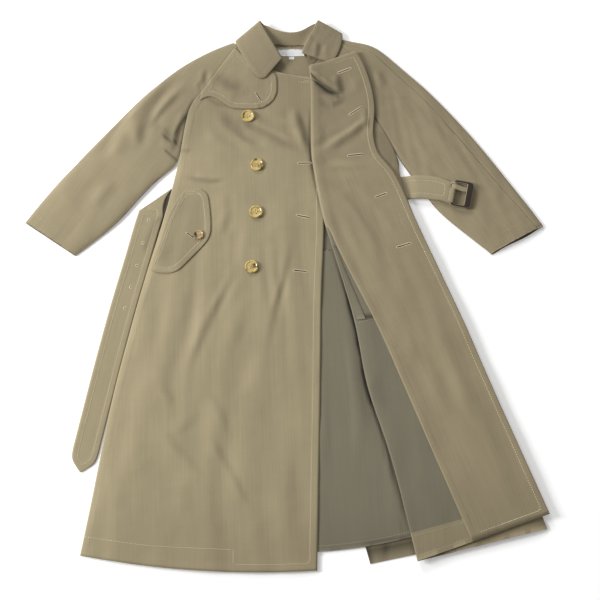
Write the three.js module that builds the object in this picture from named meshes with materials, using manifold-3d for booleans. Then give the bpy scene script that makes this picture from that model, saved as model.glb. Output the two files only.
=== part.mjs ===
import * as THREE from "three";
import { mergeVertices } from "three/addons/utils/BufferGeometryUtils.js";
import Module from "manifold-3d";

// A double-breasted raglan trench coat, laid on its back with the left front folded open.
// Millimetres. +X is to the right and +Y towards the collar, seen from above. The floor is z = 0.
// Right and left are the wearer's: the right half of the coat lies at negative X.

// Driving sizes
const CLOTH = 1.5; // coat cloth with its turned edges
const SEAM = 0.3; // gap between pieces that are sewn or lie on each other
const SEAM_SIDE = 0.2; // half of the gap along a raglan seam, measured in X
const LOFT_RIGHT = 6; // rise of the right upper layer over its closed edges
const LOFT_LEFT = 5.4; // rise of the left upper layer over its closed edges
const ROUNDING = 55; // distance in from a closed edge over which the cloth levels out
const FREE_EDGE_DROP = 3.2; // how far the right front sinks towards its open edge
const FREE_EDGE_REACH = 70;
const FREE_EDGE_STRIP = 28; // width of the strip that lies lowest beside the open edge
const LEAST_RISE = 2.7; // rise that the sunk strip keeps
const FOLD_FADE = 40; // folds fade out over this distance from a closed edge
const HEM_DROP = 1.4; // how far the upper layers sink towards the hem
const HEM_DROP_LEFT = 0.5;
const HEM_REACH = 100;
const BELT_CLOTH = 2; // two layers of cloth and a stiffener
const BELT_WIDTH = 54;
const BELT_END_WIDTH = 49; // at the buckle's hinge bar
const BELT_COVER = 2.4; // rise of the back over the belt that runs beneath it
const BELT_COVER_FLAT = 29; // half width of that rise
const BELT_COVER_REACH = 62; // where the back is down on the floor again
const SIDE_COVER_FLAT = 50; // the upper layers clear that rise at the side seams
const SIDE_COVER_REACH = 90;
const SIDE_COVER_SHARE = 0.3; // share of it that is left where the cloth has levelled out
const SIDE_COVER_END = 275; // X at which the belt comes out from under the left side
const FOLD_RADIUS = 2.2; // mid-wall radius of the left front's fold
const BUTTON_RADIUS = 14;
const POCKET_BUTTON_RADIUS = 10;
const BUTTON_HEIGHT = 4.2;
const LABEL_CLOTH = 0.6;
const CENTRE_RIGHT = 12; // X at which the right back ends at the centre seam
const CENTRE_LEFT = 12.6; // and the left back begins

const UPPER_SEAT = CLOTH + SEAM; // underside of an upper layer at its closed edge

// Small number helpers
const clamp01 = (t) => Math.min(1, Math.max(0, t));
const ease = (t) => clamp01(t) ** 2 * (3 - 2 * clamp01(t));
const mix = (a, b, t) => a + (b - a) * t;
const steps = (n) => Array.from({ length: n + 1 }, (_, i) => i / n);

function curve(a, b, c, d, t) {
  const linear = (c - a) * t;
  const square = (2 * a - 5 * b + 4 * c - d) * t * t;
  const cube = (3 * b - a - 3 * c + d) * t * t * t;
  return 0.5 * (2 * b + linear + square + cube);
}

// Rows of a table with named columns, joined by a smooth curve through each column
function stations(table, perStep) {
  const at = (i) => table[Math.min(table.length - 1, Math.max(0, i))];
  const blend = (i, t) =>
    Object.fromEntries(
      Object.keys(table[0]).map((key) => [
        key,
        curve(at(i - 1)[key], at(i)[key], at(i + 1)[key], at(i + 2)[key], t),
      ]),
    );
  const rows = [];
  for (let i = 0; i < table.length - 1; i++) {
    for (let s = 0; s < perStep; s++) rows.push(blend(i, s / perStep));
  }
  rows.push({ ...at(table.length - 1) });
  return rows;
}

// Two tables that meet at a corner of the outline
const cornered = (first, second, a, b) => stations(first, a).concat(stations(second, b).slice(1));

// Plan points of a panel: each row runs from (lx, ly) through (mx, my) to (rx, ry)
function plan(rows, columns) {
  return rows.map((row) =>
    columns.map((u) => {
      if (row.mx === undefined) {
        return new THREE.Vector2(mix(row.lx, row.rx, u), mix(row.ly, row.ry, u));
      }
      const [l, m, r] = [(1 - u) * (1 - 2 * u), 4 * u * (1 - u), u * (2 * u - 1)];
      return new THREE.Vector2(
        l * row.lx + m * row.mx + r * row.rx,
        l * row.ly + m * row.my + r * row.ry,
      );
    }),
  );
}

// Closed solid between two point grids
function solidBetween(lower, upper) {
  const [rows, columns] = [lower.length, lower[0].length];
  const points = [...lower.flat(), ...upper.flat()].flatMap((p) => [p.x, p.y, p.z]);
  const top = rows * columns;
  const index = [];
  const quad = (a, b, c, d) => index.push(a, b, c, a, c, d);
  for (let i = 0; i < rows - 1; i++) {
    for (let j = 0; j < columns - 1; j++) {
      const a = i * columns + j;
      const [b, d] = [a + 1, a + columns];
      const c = d + 1;
      quad(a, b, c, d);
      index.push(top + a, top + c, top + b, top + a, top + d, top + c);
    }
  }
  for (let i = 0; i < rows - 1; i++) {
    const a = i * columns;
    const b = a + columns;
    quad(a, b, top + b, top + a);
    const [c, d] = [a + columns - 1, b + columns - 1];
    quad(d, c, top + c, top + d);
  }
  for (let j = 0; j < columns - 1; j++) {
    quad(j + 1, j, top + j, top + j + 1);
    const a = (rows - 1) * columns + j;
    quad(a, a + 1, top + a + 1, top + a);
  }
  return facingOut(points, index);
}

function signedVolume(points, index) {
  let sum = 0;
  const p = (k) => new THREE.Vector3(points[3 * k], points[3 * k + 1], points[3 * k + 2]);
  for (let i = 0; i < index.length; i += 3) {
    const [a, b, c] = [p(index[i]), p(index[i + 1]), p(index[i + 2])];
    sum += a.dot(b.cross(c)) / 6;
  }
  return sum;
}

function facingOut(points, index) {
  if (signedVolume(points, index) < 0) {
    for (let i = 0; i < index.length; i += 3) {
      [index[i + 1], index[i + 2]] = [index[i + 2], index[i + 1]];
    }
  }
  const geometry = new THREE.BufferGeometry();
  geometry.setAttribute("position", new THREE.Float32BufferAttribute(points, 3));
  geometry.setIndex(index);
  return geometry;
}

// A layer that lies flat: its underside is at bottom(x, y), its top one thickness higher
function layer(grid, bottom, thickness = CLOTH) {
  const lower = grid.map((row) => row.map((p) => new THREE.Vector3(p.x, p.y, bottom(p.x, p.y))));
  const upper = lower.map((row) => row.map((p) => new THREE.Vector3(p.x, p.y, p.z + thickness)));
  return { lower, upper, geometry: solidBetween(lower, upper) };
}

// A folded sheet: the grid is its middle, and each side lies half a thickness away from it
function foldedSheet(middle, thickness) {
  const at = (i, j) => {
    const row = middle[Math.min(middle.length - 1, Math.max(0, i))];
    return row[Math.min(row.length - 1, Math.max(0, j))];
  };
  const normal = (i, j) => {
    const down = at(i + 1, j).clone().sub(at(i - 1, j));
    const across = at(i, j + 1).clone().sub(at(i, j - 1));
    return across.cross(down).normalize();
  };
  const offset = (side) =>
    middle.map((row, i) =>
      row.map((p, j) => p.clone().addScaledVector(normal(i, j), (side * thickness) / 2)),
    );
  const [lower, upper] = [offset(-1), offset(1)];
  return { lower, upper, geometry: solidBetween(lower, upper) };
}

// Height of a faceted grid at a plan point, or -Infinity beside it
function heightOn(a, b, c, x, y) {
  const area = (b.x - a.x) * (c.y - a.y) - (c.x - a.x) * (b.y - a.y);
  if (Math.abs(area) < 1e-6) return -Infinity;
  const v = ((x - a.x) * (c.y - a.y) - (c.x - a.x) * (y - a.y)) / area;
  const w = ((b.x - a.x) * (y - a.y) - (x - a.x) * (b.y - a.y)) / area;
  if (v < -1e-4 || w < -1e-4 || v + w > 1.0001) return -Infinity;
  return a.z + v * (b.z - a.z) + w * (c.z - a.z);
}

function topAt(piece, x, y) {
  let best = -Infinity;
  for (const grid of [piece.upper, piece.lower]) {
    for (let i = 0; i < grid.length - 1; i++) {
      for (let j = 0; j < grid[i].length - 1; j++) {
        const [a, b] = [grid[i][j], grid[i][j + 1]];
        const [d, c] = [grid[i + 1][j], grid[i + 1][j + 1]];
        best = Math.max(best, heightOn(a, b, c, x, y), heightOn(a, c, d, x, y));
      }
    }
  }
  return best;
}

// Highest point of the carriers under a small patch round (x, y)
function roof(carriers, x, y, reach = 2) {
  let best = -Infinity;
  for (const [dx, dy] of [[0, 0], [1, 0], [-1, 0], [0, 1], [0, -1]]) {
    for (const piece of carriers) {
      best = Math.max(best, topAt(piece, x + dx * reach, y + dy * reach));
    }
  }
  return best;
}

const seatedOn = (carriers, lowest = UPPER_SEAT, reach = 2) => (x, y) =>
  Math.max(lowest, roof(carriers, x, y, reach) + SEAM);

// Distance from a plan point to an open chain of points
function distanceTo(chain, x, y) {
  let best = Infinity;
  for (let i = 0; i < chain.length - 1; i++) {
    const [a, b] = [chain[i], chain[i + 1]];
    const [dx, dy] = [b.x - a.x, b.y - a.y];
    const t = clamp01(((x - a.x) * dx + (y - a.y) * dy) / (dx * dx + dy * dy));
    best = Math.min(best, Math.hypot(x - a.x - t * dx, y - a.y - t * dy));
  }
  return best;
}

// Quarter-ellipse rise from a closed edge to the level cloth inside it
function roundedRise(distance) {
  const q = clamp01(distance / ROUNDING);
  return Math.sqrt(1 - (1 - q) ** 2);
}

// Soft ridges (rise > 0) and troughs (rise < 0), each along a line from (x0, y0) to (x1, y1)
const FOLDS = [
  { x0: -40, y0: -20, x1: -96, y1: -330, rise: 2.6, spread: 26 },
  { x0: -150, y0: -60, x1: -226, y1: -420, rise: 2.2, spread: 30 },
  { x0: -10, y0: -250, x1: -20, y1: -520, rise: -1.6, spread: 26 },
  { x0: -290, y0: -230, x1: -320, y1: -520, rise: 1.8, spread: 24 },
  { x0: -90, y0: 345, x1: 30, y1: 288, rise: 2.4, spread: 15 },
  { x0: -120, y0: 290, x1: -20, y1: 235, rise: -1.4, spread: 18 },
  { x0: -200, y0: 330, x1: -130, y1: 290, rise: -1.6, spread: 16 },
  { x0: -300, y0: 395, x1: -325, y1: 300, rise: -2.4, spread: 14 },
  { x0: -262, y0: 330, x1: -235, y1: 285, rise: 1.8, spread: 11 },
  { x0: -420, y0: 250, x1: -490, y1: 150, rise: 1.6, spread: 16 },
  { x0: -345, y0: 250, x1: -300, y1: 330, rise: 1.8, spread: 14 },
  { x0: 240, y0: 420, x1: 300, y1: 330, rise: -2, spread: 14 },
  { x0: 330, y0: 330, x1: 400, y1: 230, rise: 1.8, spread: 16 },
  { x0: 420, y0: 190, x1: 470, y1: 130, rise: -1, spread: 14 },
  { x0: 285, y0: 470, x1: 345, y1: 380, rise: 1.6, spread: 15 },
];

// Folds of the left front's upper run, which lies inside up
const OPENED_FOLDS = [
  { x0: 62, y0: 492, x1: 112, y1: 448, rise: 3.6, spread: 9 },
  { x0: 132, y0: 470, x1: 128, y1: 425, rise: -2.6, spread: 11 },
  { x0: 80, y0: 412, x1: 130, y1: 408, rise: -2.2, spread: 10 },
  { x0: 80, y0: 300, x1: 185, y1: 365, rise: 1.8, spread: 13 },
  { x0: 110, y0: 265, x1: 190, y1: 290, rise: -2, spread: 15 },
  { x0: 75, y0: 240, x1: 200, y1: 250, rise: 1.6, spread: 14 },
  { x0: 130, y0: 150, x1: 250, y1: -60, rise: 1.6, spread: 28 },
  { x0: 180, y0: -120, x1: 250, y1: -420, rise: 2.4, spread: 18 },
  { x0: 330, y0: -150, x1: 430, y1: -400, rise: 1.6, spread: 26 },
  { x0: 205, y0: -250, x1: 285, y1: -560, rise: -1.6, spread: 16 },
];

function foldHeight(folds, x, y) {
  return folds.reduce((sum, f) => {
    const [dx, dy] = [f.x1 - f.x0, f.y1 - f.y0];
    const length = Math.hypot(dx, dy);
    const along = ((x - f.x0) * dx + (y - f.y0) * dy) / length;
    const over = Math.max(0, -along, along - length) / (f.spread * 2);
    const aside = ((x - f.x0) * dy - (y - f.y0) * dx) / (length * f.spread);
    return sum + f.rise * Math.exp(-aside * aside - over * over);
  }, 0);
}

// The raglan seams, from neck to armpit
const RAGLAN_RIGHT = [
  { x: -108, y: 561 },
  { x: -140, y: 511 },
  { x: -166, y: 471 },
  { x: -184, y: 441 },
  { x: -213, y: 405 },
  { x: -222, y: 329 },
  { x: -231, y: 269 },
];
const RAGLAN_LEFT = [
  { x: 106, y: 566 },
  { x: 148, y: 545 },
  { x: 165, y: 498 },
  { x: 179, y: 455 },
  { x: 189, y: 415 },
  { x: 197, y: 378 },
  { x: 221, y: 341 },
  { x: 247, y: 283 },
];

// Right front: middle and open edge of each row beside the raglan seam, then below the armpit
const FRONT_YOKE = [
  { mx: -32, my: 497, rx: 86, ry: 481 },
  { mx: -36, my: 466, rx: 86, ry: 452 },
  { mx: -42, my: 437, rx: 86, ry: 427 },
  { mx: -48, my: 411, rx: 86, ry: 403 },
  { mx: -60, my: 377, rx: 86, ry: 370 },
  { mx: -68, my: 321, rx: 85, ry: 316 },
  { mx: -72, my: 264, rx: 85, ry: 260 },
];
const FRONT_SKIRT = [
  { lx: -231, ly: 269, mx: -72, my: 264, rx: 85, ry: 260 },
  { lx: -247, ly: 188, mx: -80, my: 188, rx: 84, ry: 188 },
  { lx: -264, ly: 118, mx: -88, my: 117, rx: 84, ry: 117 },
  { lx: -283, ly: 47, mx: -98, my: 42, rx: 81, ry: 42 },
  { lx: -305, ly: -43, mx: -110, my: -50, rx: 77, ry: -50 },
  { lx: -325, ly: -132, mx: -122, my: -142, rx: 76, ry: -142 },
  { lx: -352, ly: -261, mx: -136, my: -276, rx: 74, ry: -276 },
  { lx: -371, ly: -387, mx: -148, my: -408, rx: 71, ry: -406 },
  { lx: -387, ly: -490, mx: -160, my: -516, rx: 69, ry: -512 },
  { lx: -402, ly: -582, mx: -170, my: -612, rx: 67, ry: -612 },
];

// Backs: from the side to the centre line, which opens into a pleat below the seat
const BACK_YOKE_RIGHT = [
  { mx: -56, my: 566, rx: CENTRE_RIGHT, ry: 566 },
  { mx: -64, my: 507, rx: CENTRE_RIGHT, ry: 506 },
  { mx: -77, my: 469, rx: CENTRE_RIGHT, ry: 468 },
  { mx: -86, my: 440, rx: CENTRE_RIGHT, ry: 439 },
  { mx: -100, my: 403, rx: CENTRE_RIGHT, ry: 402 },
  { mx: -105, my: 328, rx: CENTRE_RIGHT, ry: 328 },
  { mx: -110, my: 269, rx: CENTRE_RIGHT, ry: 269 },
];
const BACK_SKIRT_RIGHT = [
  { lx: -283, ly: 47, rx: CENTRE_RIGHT, ry: 60 },
  { lx: -305, ly: -43, rx: CENTRE_RIGHT, ry: -30 },
  { lx: -352, ly: -261, rx: 17, ry: -255 },
  { lx: -387, ly: -490, rx: 24, ry: -498 },
  { lx: -401, ly: -576, rx: 30, ry: -602 },
];
const BACK_YOKE_LEFT = [
  { mx: 66, my: 566, rx: CENTRE_LEFT, ry: 566 },
  { mx: 84, my: 547, rx: CENTRE_LEFT, ry: 545 },
  { mx: 92, my: 500, rx: CENTRE_LEFT, ry: 502 },
  { mx: 97, my: 455, rx: CENTRE_LEFT, ry: 456 },
  { mx: 101, my: 415, rx: CENTRE_LEFT, ry: 415 },
  { mx: 104, my: 376, rx: CENTRE_LEFT, ry: 376 },
  { mx: 116, my: 336, rx: CENTRE_LEFT, ry: 334 },
  { mx: 130, my: 281, rx: CENTRE_LEFT, ry: 280 },
];
const BACK_SKIRT_LEFT = [
  { lx: 299, ly: 88, rx: CENTRE_LEFT, ry: 60 },
  { lx: 348, ly: -43, rx: 20, ry: -30 },
  { lx: 407, ly: -200, rx: 60, ry: -200 },
  { lx: 464, ly: -350, rx: 112, ry: -380 },
  { lx: 522, ly: -524, rx: 172, ry: -598 },
];

// The left front: side or raglan seam, fold, facing line and front edge of each row
const LEFT_YOKE = [
  { fx: 53, fy: 500, gx: 61, gy: 503, ex: 157, ey: 540 },
  { fx: 55, fy: 484, gx: 63, gy: 487, ex: 170, ey: 516 },
  { fx: 57, fy: 460, gx: 65, gy: 462, ex: 182, ey: 483 },
  { fx: 57, fy: 428, gx: 65, gy: 429, ex: 191, ey: 449 },
  { fx: 57, fy: 396, gx: 65, gy: 396, ex: 197, ey: 412 },
  { fx: 57, fy: 364, gx: 65, gy: 364, ex: 196, ey: 379 },
  { fx: 57, fy: 330, gx: 65, gy: 330, ex: 190, ey: 344 },
  { fx: 58, fy: 286, gx: 66, gy: 286, ex: 198, ey: 293 },
];
const LEFT_SKIRT = [
  { sx: 247, sy: 283, fx: 58, fy: 286, gx: 66, gy: 286, ex: 198, ey: 293 },
  { sx: 249, sy: 238, fx: 65, fy: 238, gx: 73, gy: 238, ex: 238, ey: 243 },
  { sx: 268, sy: 172, fx: 80, fy: 150, gx: 88, gy: 150, ex: 267, ey: 168 },
  { sx: 300, sy: 85, fx: 101, fy: 75, gx: 110, gy: 74, ex: 302, ey: 80 },
  { sx: 366, sy: -92, fx: 149, fy: -92, gx: 187, gy: -88, ex: 373, ey: -92 },
  { sx: 407, sy: -200, fx: 178, fy: -205, gx: 234, gy: -203, ex: 413, ey: -200 },
  { sx: 464, sy: -350, fx: 212, fy: -355, gx: 294, gy: -355, ex: 471, ey: -350 },
  { sx: 525, sy: -529, fx: 265, fy: -594, gx: 374, gy: -556, ex: 530, ey: -500 },
];

// Sleeves: overarm outline and inner side of each row, beside the raglan seam and below it
const SLEEVE_YOKE_RIGHT = [
  { ox: -117, oy: 567 },
  { ox: -157, oy: 551 },
  { ox: -201, oy: 526 },
  { ox: -238, oy: 501 },
  { ox: -278, oy: 465 },
  { ox: -318, oy: 426 },
  { ox: -360, oy: 377 },
];
const SLEEVE_ARM_RIGHT = [
  { ox: -360, oy: 377, ix: -231, iy: 269 },
  { ox: -401, oy: 329, ix: -276, iy: 232 },
  { ox: -441, oy: 281, ix: -316, iy: 185 },
  { ox: -479, oy: 233, ix: -352, iy: 139 },
  { ox: -516, oy: 185, ix: -399, iy: 93 },
  { ox: -553, oy: 131, ix: -444, iy: 56 },
];
const SLEEVE_YOKE_LEFT = [
  { ox: 121, oy: 577 },
  { ox: 154, oy: 569 },
  { ox: 197, oy: 562 },
  { ox: 236, oy: 525 },
  { ox: 275, oy: 486 },
  { ox: 312, oy: 451 },
  { ox: 355, oy: 401 },
  { ox: 394, oy: 353 },
];
const SLEEVE_ARM_LEFT = [
  { ox: 394, oy: 353, ix: 247, iy: 283 },
  { ox: 430, oy: 305, ix: 284, iy: 226 },
  { ox: 464, oy: 256, ix: 318, iy: 174 },
  { ox: 497, oy: 208, ix: 350, iy: 139 },
  { ox: 530, oy: 160, ix: 395, iy: 99 },
  { ox: 552, oy: 125, ix: 439, iy: 61 },
];

// The belt's hidden run and buckle end, from the diagonal fold at the right side to the buckle
const BELT_RUN = [
  { x: -278, y: 184 },
  { x: -200, y: 182 },
  { x: -100, y: 188 },
  { x: 0, y: 197 },
  { x: 100, y: 206 },
  { x: 180, y: 211 },
  { x: 263, y: 213 },
  { x: 300, y: 212 },
  { x: 330, y: 207 },
  { x: 356, y: 199 },
];
// Its tail, from the diagonal fold down beside the right front
const BELT_TAIL = [
  { x: -285, y: 154 },
  { x: -293, y: 125 },
  { x: -313.4, y: 40 },
  { x: -335.2, y: -50 },
  { x: -359, y: -159 },
  { x: -381, y: -268 },
  { x: -404.6, y: -388 },
];
const BELT_POINT = 25; // length of the pointed end
// The diagonal fold's line, from its outer end
const BELT_FOLD = { x: -311, y: 157.5, length: 85.3, angle: THREE.MathUtils.degToRad(37.2) };
const BELT_RUN_SPAN = { from: -232, to: 350 }; // X of the first and last plain row of the run
const BELT_OUT = 263.5; // X at which the run leaves the back and climbs the sleeve
const ONTO_SEAT = { x: 300, reach: 45 }; // where the run comes up to the buckle's height
const NARROWING = { x: 325, reach: 25 }; // where the run is drawn in to the hinge bar
const TAIL_LIFT = { y: 60, reach: 50 }; // where the tail comes up onto the run

function beltLine(x) {
  const k = BELT_RUN.findIndex((p) => p.x > x);
  if (k < 1) return k === 0 ? BELT_RUN[0].y : BELT_RUN[BELT_RUN.length - 1].y;
  const [a, b] = [BELT_RUN[k - 1], BELT_RUN[k]];
  return mix(a.y, b.y, (x - a.x) / (b.x - a.x));
}

function beltRise(x, y, flat, reach) {
  const off = Math.abs(y - beltLine(x));
  return BELT_COVER * ease((reach - off) / (reach - flat));
}

// The back rises over the belt beneath it, and the upper layers rise with it at the sides
const backBottom = (x, y) => beltRise(x, y, BELT_COVER_FLAT, BELT_COVER_REACH);
const sideRise = (x, y, rounded) =>
  beltRise(x, y, SIDE_COVER_FLAT, SIDE_COVER_REACH) * mix(1, SIDE_COVER_SHARE, rounded);

// Rows of a back follow the belt where they cross it
const BELT_ROW_OFFSETS = [62, 50, 40, 29, 0, -29, -40, -50, -62];

function backGrid(raglan, yoke, skirt, side, centre, columns) {
  const seam = raglan.map((p, i) => ({ lx: p.x, ly: p.y, ...yoke[i] }));
  const across = BELT_ROW_OFFSETS.map((offset) => {
    const at = side(offset);
    return columns.map((u) => {
      const x = mix(at, centre, u);
      return new THREE.Vector2(x, beltLine(x) + offset);
    });
  });
  return [...plan(stations(seam, 1), columns), ...across, ...plan(stations(skirt, 2), columns)];
}

const shifted = (table, dx) => table.map((p) => ({ x: p.x + dx, y: p.y }));
const BACK_COLUMNS = steps(7);
const RIGHT_SIDE = [
  { x: -231, y: 269 },
  { x: -247, y: 188 },
  { x: -264, y: 118 },
  { x: -283, y: 47 },
];
const LEFT_SIDE = [
  { x: 247, y: 283 },
  { x: 249, y: 238 },
  { x: 268, y: 172 },
  { x: 300, y: 85 },
];

// Where a row that lies at an offset from the belt's middle meets the side seam
function sideAt(side) {
  return (offset) => {
    for (let i = 0; i < side.length - 1; i++) {
      const [a, b] = [side[i], side[i + 1]];
      const [p, q] = [a.y - beltLine(a.x) - offset, b.y - beltLine(b.x) - offset];
      if (p >= 0 && q <= 0) return mix(a.x, b.x, p / (p - q));
    }
    return side[side.length - 1].x;
  };
}

const backRight = layer(
  backGrid(
    shifted(RAGLAN_RIGHT, SEAM_SIDE),
    BACK_YOKE_RIGHT,
    BACK_SKIRT_RIGHT,
    sideAt(RIGHT_SIDE),
    CENTRE_RIGHT,
    BACK_COLUMNS,
  ),
  backBottom,
);
const backLeft = layer(
  backGrid(
    shifted(RAGLAN_LEFT, -SEAM_SIDE),
    BACK_YOKE_LEFT,
    BACK_SKIRT_LEFT,
    sideAt(LEFT_SIDE),
    CENTRE_LEFT,
    BACK_COLUMNS,
  ),
  backBottom,
);

// Right front
const FRONT_COLUMNS = [0, 0.035, 0.09, 0.17, 0.26, 0.36, 0.46, 0.56, 0.66, 0.76, 0.85, 0.93, 1];
const frontRows = cornered(
  RAGLAN_RIGHT.map((p, i) => ({ lx: p.x + SEAM_SIDE, ly: p.y, ...FRONT_YOKE[i] })),
  FRONT_SKIRT.map((row, i) => (i ? row : { ...row, lx: row.lx + SEAM_SIDE })),
  1,
  2,
);
const frontGrid = plan(frontRows, FRONT_COLUMNS);

// Right sleeve
const SLEEVE_COLUMNS = [0, 0.05, 0.13, 0.26, 0.42, 0.58, 0.74, 0.87, 0.95, 1];
const sleeveRowsRight = cornered(
  SLEEVE_YOKE_RIGHT.map((row, i) => ({
    lx: row.ox,
    ly: row.oy,
    rx: RAGLAN_RIGHT[i].x - SEAM_SIDE,
    ry: RAGLAN_RIGHT[i].y,
  })),
  SLEEVE_ARM_RIGHT.map((r, i) => ({
    lx: r.ox,
    ly: r.oy,
    rx: i ? r.ix : r.ix - SEAM_SIDE,
    ry: r.iy,
  })),
  1,
  2,
);
const sleeveGridRight = plan(sleeveRowsRight, SLEEVE_COLUMNS);

const lastOf = (row) => row[row.length - 1];
const armpitRow = RAGLAN_RIGHT.length - 1;
const closedRight = [
  sleeveGridRight.map((row) => row[0]),
  sleeveGridRight.slice(armpitRow).map(lastOf),
  frontGrid.slice(armpitRow).map((row) => row[0]),
];
const hemRight = lastOf(frontGrid);
const openEdgeRight = frontGrid.map(lastOf);

function upperRight(x, y) {
  const edge = Math.min(...closedRight.map((chain) => distanceTo(chain, x, y)));
  const hem = distanceTo(hemRight, x, y);
  const open = distanceTo(openEdgeRight, x, y);
  const level = LOFT_RIGHT - HEM_DROP * (1 - ease(hem / HEM_REACH));
  const rounded = roundedRise(edge);
  const rise = (level + foldHeight(FOLDS, x, y) * ease(edge / FOLD_FADE)) * rounded;
  const strip = 1 - ease((open - FREE_EDGE_STRIP) / FREE_EDGE_REACH);
  const sunk = rise - FREE_EDGE_DROP * strip * rounded;
  return UPPER_SEAT + Math.max(Math.min(rise, LEAST_RISE), sunk) + sideRise(x, y, rounded);
}

const frontRight = layer(frontGrid, upperRight);
const sleeveRightFront = layer(sleeveGridRight, upperRight);
const sleeveRightBack = layer(plan(sleeveRowsRight, steps(5)), () => 0);

// Left sleeve: the back piece turns round the overarm edge and meets the front piece on top
const OVERARM_SEAM = [10, 14, 17, 20, 22, 24, 26, 28, 28, 27, 24, 20, 16];
const WRAP_RADIUS = 1.7;
const sleeveRowsLeft = cornered(
  SLEEVE_YOKE_LEFT.map((row, i) => ({
    lx: row.ox,
    ly: row.oy,
    rx: RAGLAN_LEFT[i].x + SEAM_SIDE,
    ry: RAGLAN_LEFT[i].y,
    seam: OVERARM_SEAM[i],
  })),
  SLEEVE_ARM_LEFT.map((r, i) => ({
    lx: r.ox,
    ly: r.oy,
    rx: i ? r.ix : r.ix + SEAM_SIDE,
    ry: r.iy,
    seam: OVERARM_SEAM[i + SLEEVE_YOKE_LEFT.length - 1],
  })),
  1,
  2,
);
const LEFT_ARMPIT_ROW = RAGLAN_LEFT.length - 1;

// The left front's rows, from its side to its front edge
const leftRows = cornered(
  LEFT_YOKE.map((row, i) => ({
    sx: RAGLAN_LEFT[i].x - SEAM_SIDE,
    sy: RAGLAN_LEFT[i].y,
    ...row,
  })),
  LEFT_SKIRT.map((row, i) => (i ? row : { ...row, sx: row.sx - SEAM_SIDE })),
  1,
  2,
);

const closedLeft = [
  sleeveRowsLeft.map((r) => ({ x: r.lx, y: r.ly })),
  sleeveRowsLeft.slice(LEFT_ARMPIT_ROW).map((r) => ({ x: r.rx, y: r.ry })),
  leftRows.slice(LEFT_ARMPIT_ROW).map((r) => ({ x: r.sx, y: r.sy })),
];
const hemLeft = [
  { x: leftRows[leftRows.length - 1].sx, y: leftRows[leftRows.length - 1].sy },
  { x: leftRows[leftRows.length - 1].fx, y: leftRows[leftRows.length - 1].fy },
];

// The under run lies smooth, so folds are left to the sleeve, beyond this corner
const SLEEVE_LEFT_FROM = { x: 200, y: 60 };

function upperLeft(x, y) {
  const edge = Math.min(...closedLeft.map((chain) => distanceTo(chain, x, y)));
  const hem = distanceTo(hemLeft, x, y);
  const level = LOFT_LEFT - HEM_DROP_LEFT * (1 - ease(hem / HEM_REACH));
  const onSleeve = x > SLEEVE_LEFT_FROM.x && y > SLEEVE_LEFT_FROM.y;
  const folds = onSleeve ? foldHeight(FOLDS, x, y) * ease(edge / FOLD_FADE) : 0;
  const rounded = roundedRise(edge);
  const side = x < SIDE_COVER_END ? sideRise(x, y, rounded) : 0;
  return UPPER_SEAT + (level + folds) * rounded + side;
}

const ARM_COLUMNS_LEFT = [0, 0.12, 0.28, 0.44, 0.6, 0.76, 0.9, 1];
const sleeveFrontGridLeft = sleeveRowsLeft.map((r) => {
  const width = Math.hypot(r.rx - r.lx, r.ry - r.ly);
  const start = r.seam / width;
  return ARM_COLUMNS_LEFT.map((u) => {
    const t = mix(start, 1, u);
    return new THREE.Vector2(mix(r.lx, r.rx, t), mix(r.ly, r.ry, t));
  });
});
const sleeveLeftFront = layer(sleeveFrontGridLeft, upperLeft);

const WRAP_COLUMNS = [0, 0.25, 0.5, 0.75, 0.93];
const WRAP_TURN = [0, 45, 90, 135].map(THREE.MathUtils.degToRad);
const WRAP_OVER = [0.42, 1]; // shares of the way from the turn to the overarm seam

// One row of the back sleeve piece: under the arm, round the overarm edge, up to the seam
function wrapRow(r) {
  const width = Math.hypot(r.rx - r.lx, r.ry - r.ly);
  const at = (fromOuter, z) => {
    const t = fromOuter / width;
    return new THREE.Vector3(mix(r.lx, r.rx, t), mix(r.ly, r.ry, t), z);
  };
  const half = CLOTH / 2;
  const turn = WRAP_RADIUS + half;
  const under = WRAP_COLUMNS.map((u) => at(mix(width, turn, u), half));
  const round = WRAP_TURN.map((a) =>
    at(turn - WRAP_RADIUS * Math.sin(a), half + WRAP_RADIUS * (1 - Math.cos(a))),
  );
  const over = WRAP_OVER.map((u) => {
    const p = at(mix(turn, r.seam - SEAM, u), 0);
    return p.setZ(upperLeft(p.x, p.y) + half);
  });
  return [...under, ...round, ...over];
}
const sleeveLeftBack = foldedSheet(sleeveRowsLeft.map(wrapRow), CLOTH);

// Pleat underlay, seen from inside between the fronts
const UNDERLAY = [
  { lx: 44, ly: 70, mx: 74, my: 70, rx: 112, ry: 70 },
  { lx: 40, ly: -50, mx: 96, my: -50, rx: 158, ry: -50 },
  { lx: 34, ly: -200, mx: 116, my: -200, rx: 198, ry: -200 },
  { lx: 28, ly: -350, mx: 130, my: -350, rx: 238, ry: -350 },
  { lx: 20, ly: -470, mx: 143, my: -470, rx: 266, ry: -460 },
  { lx: 12, ly: -576, mx: 145, my: -567, rx: 284, ry: -538 },
];
const pleatUnderlay = layer(
  plan(stations(UNDERLAY, 2), steps(6)),
  seatedOn([backRight, backLeft], UPPER_SEAT),
);

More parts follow.
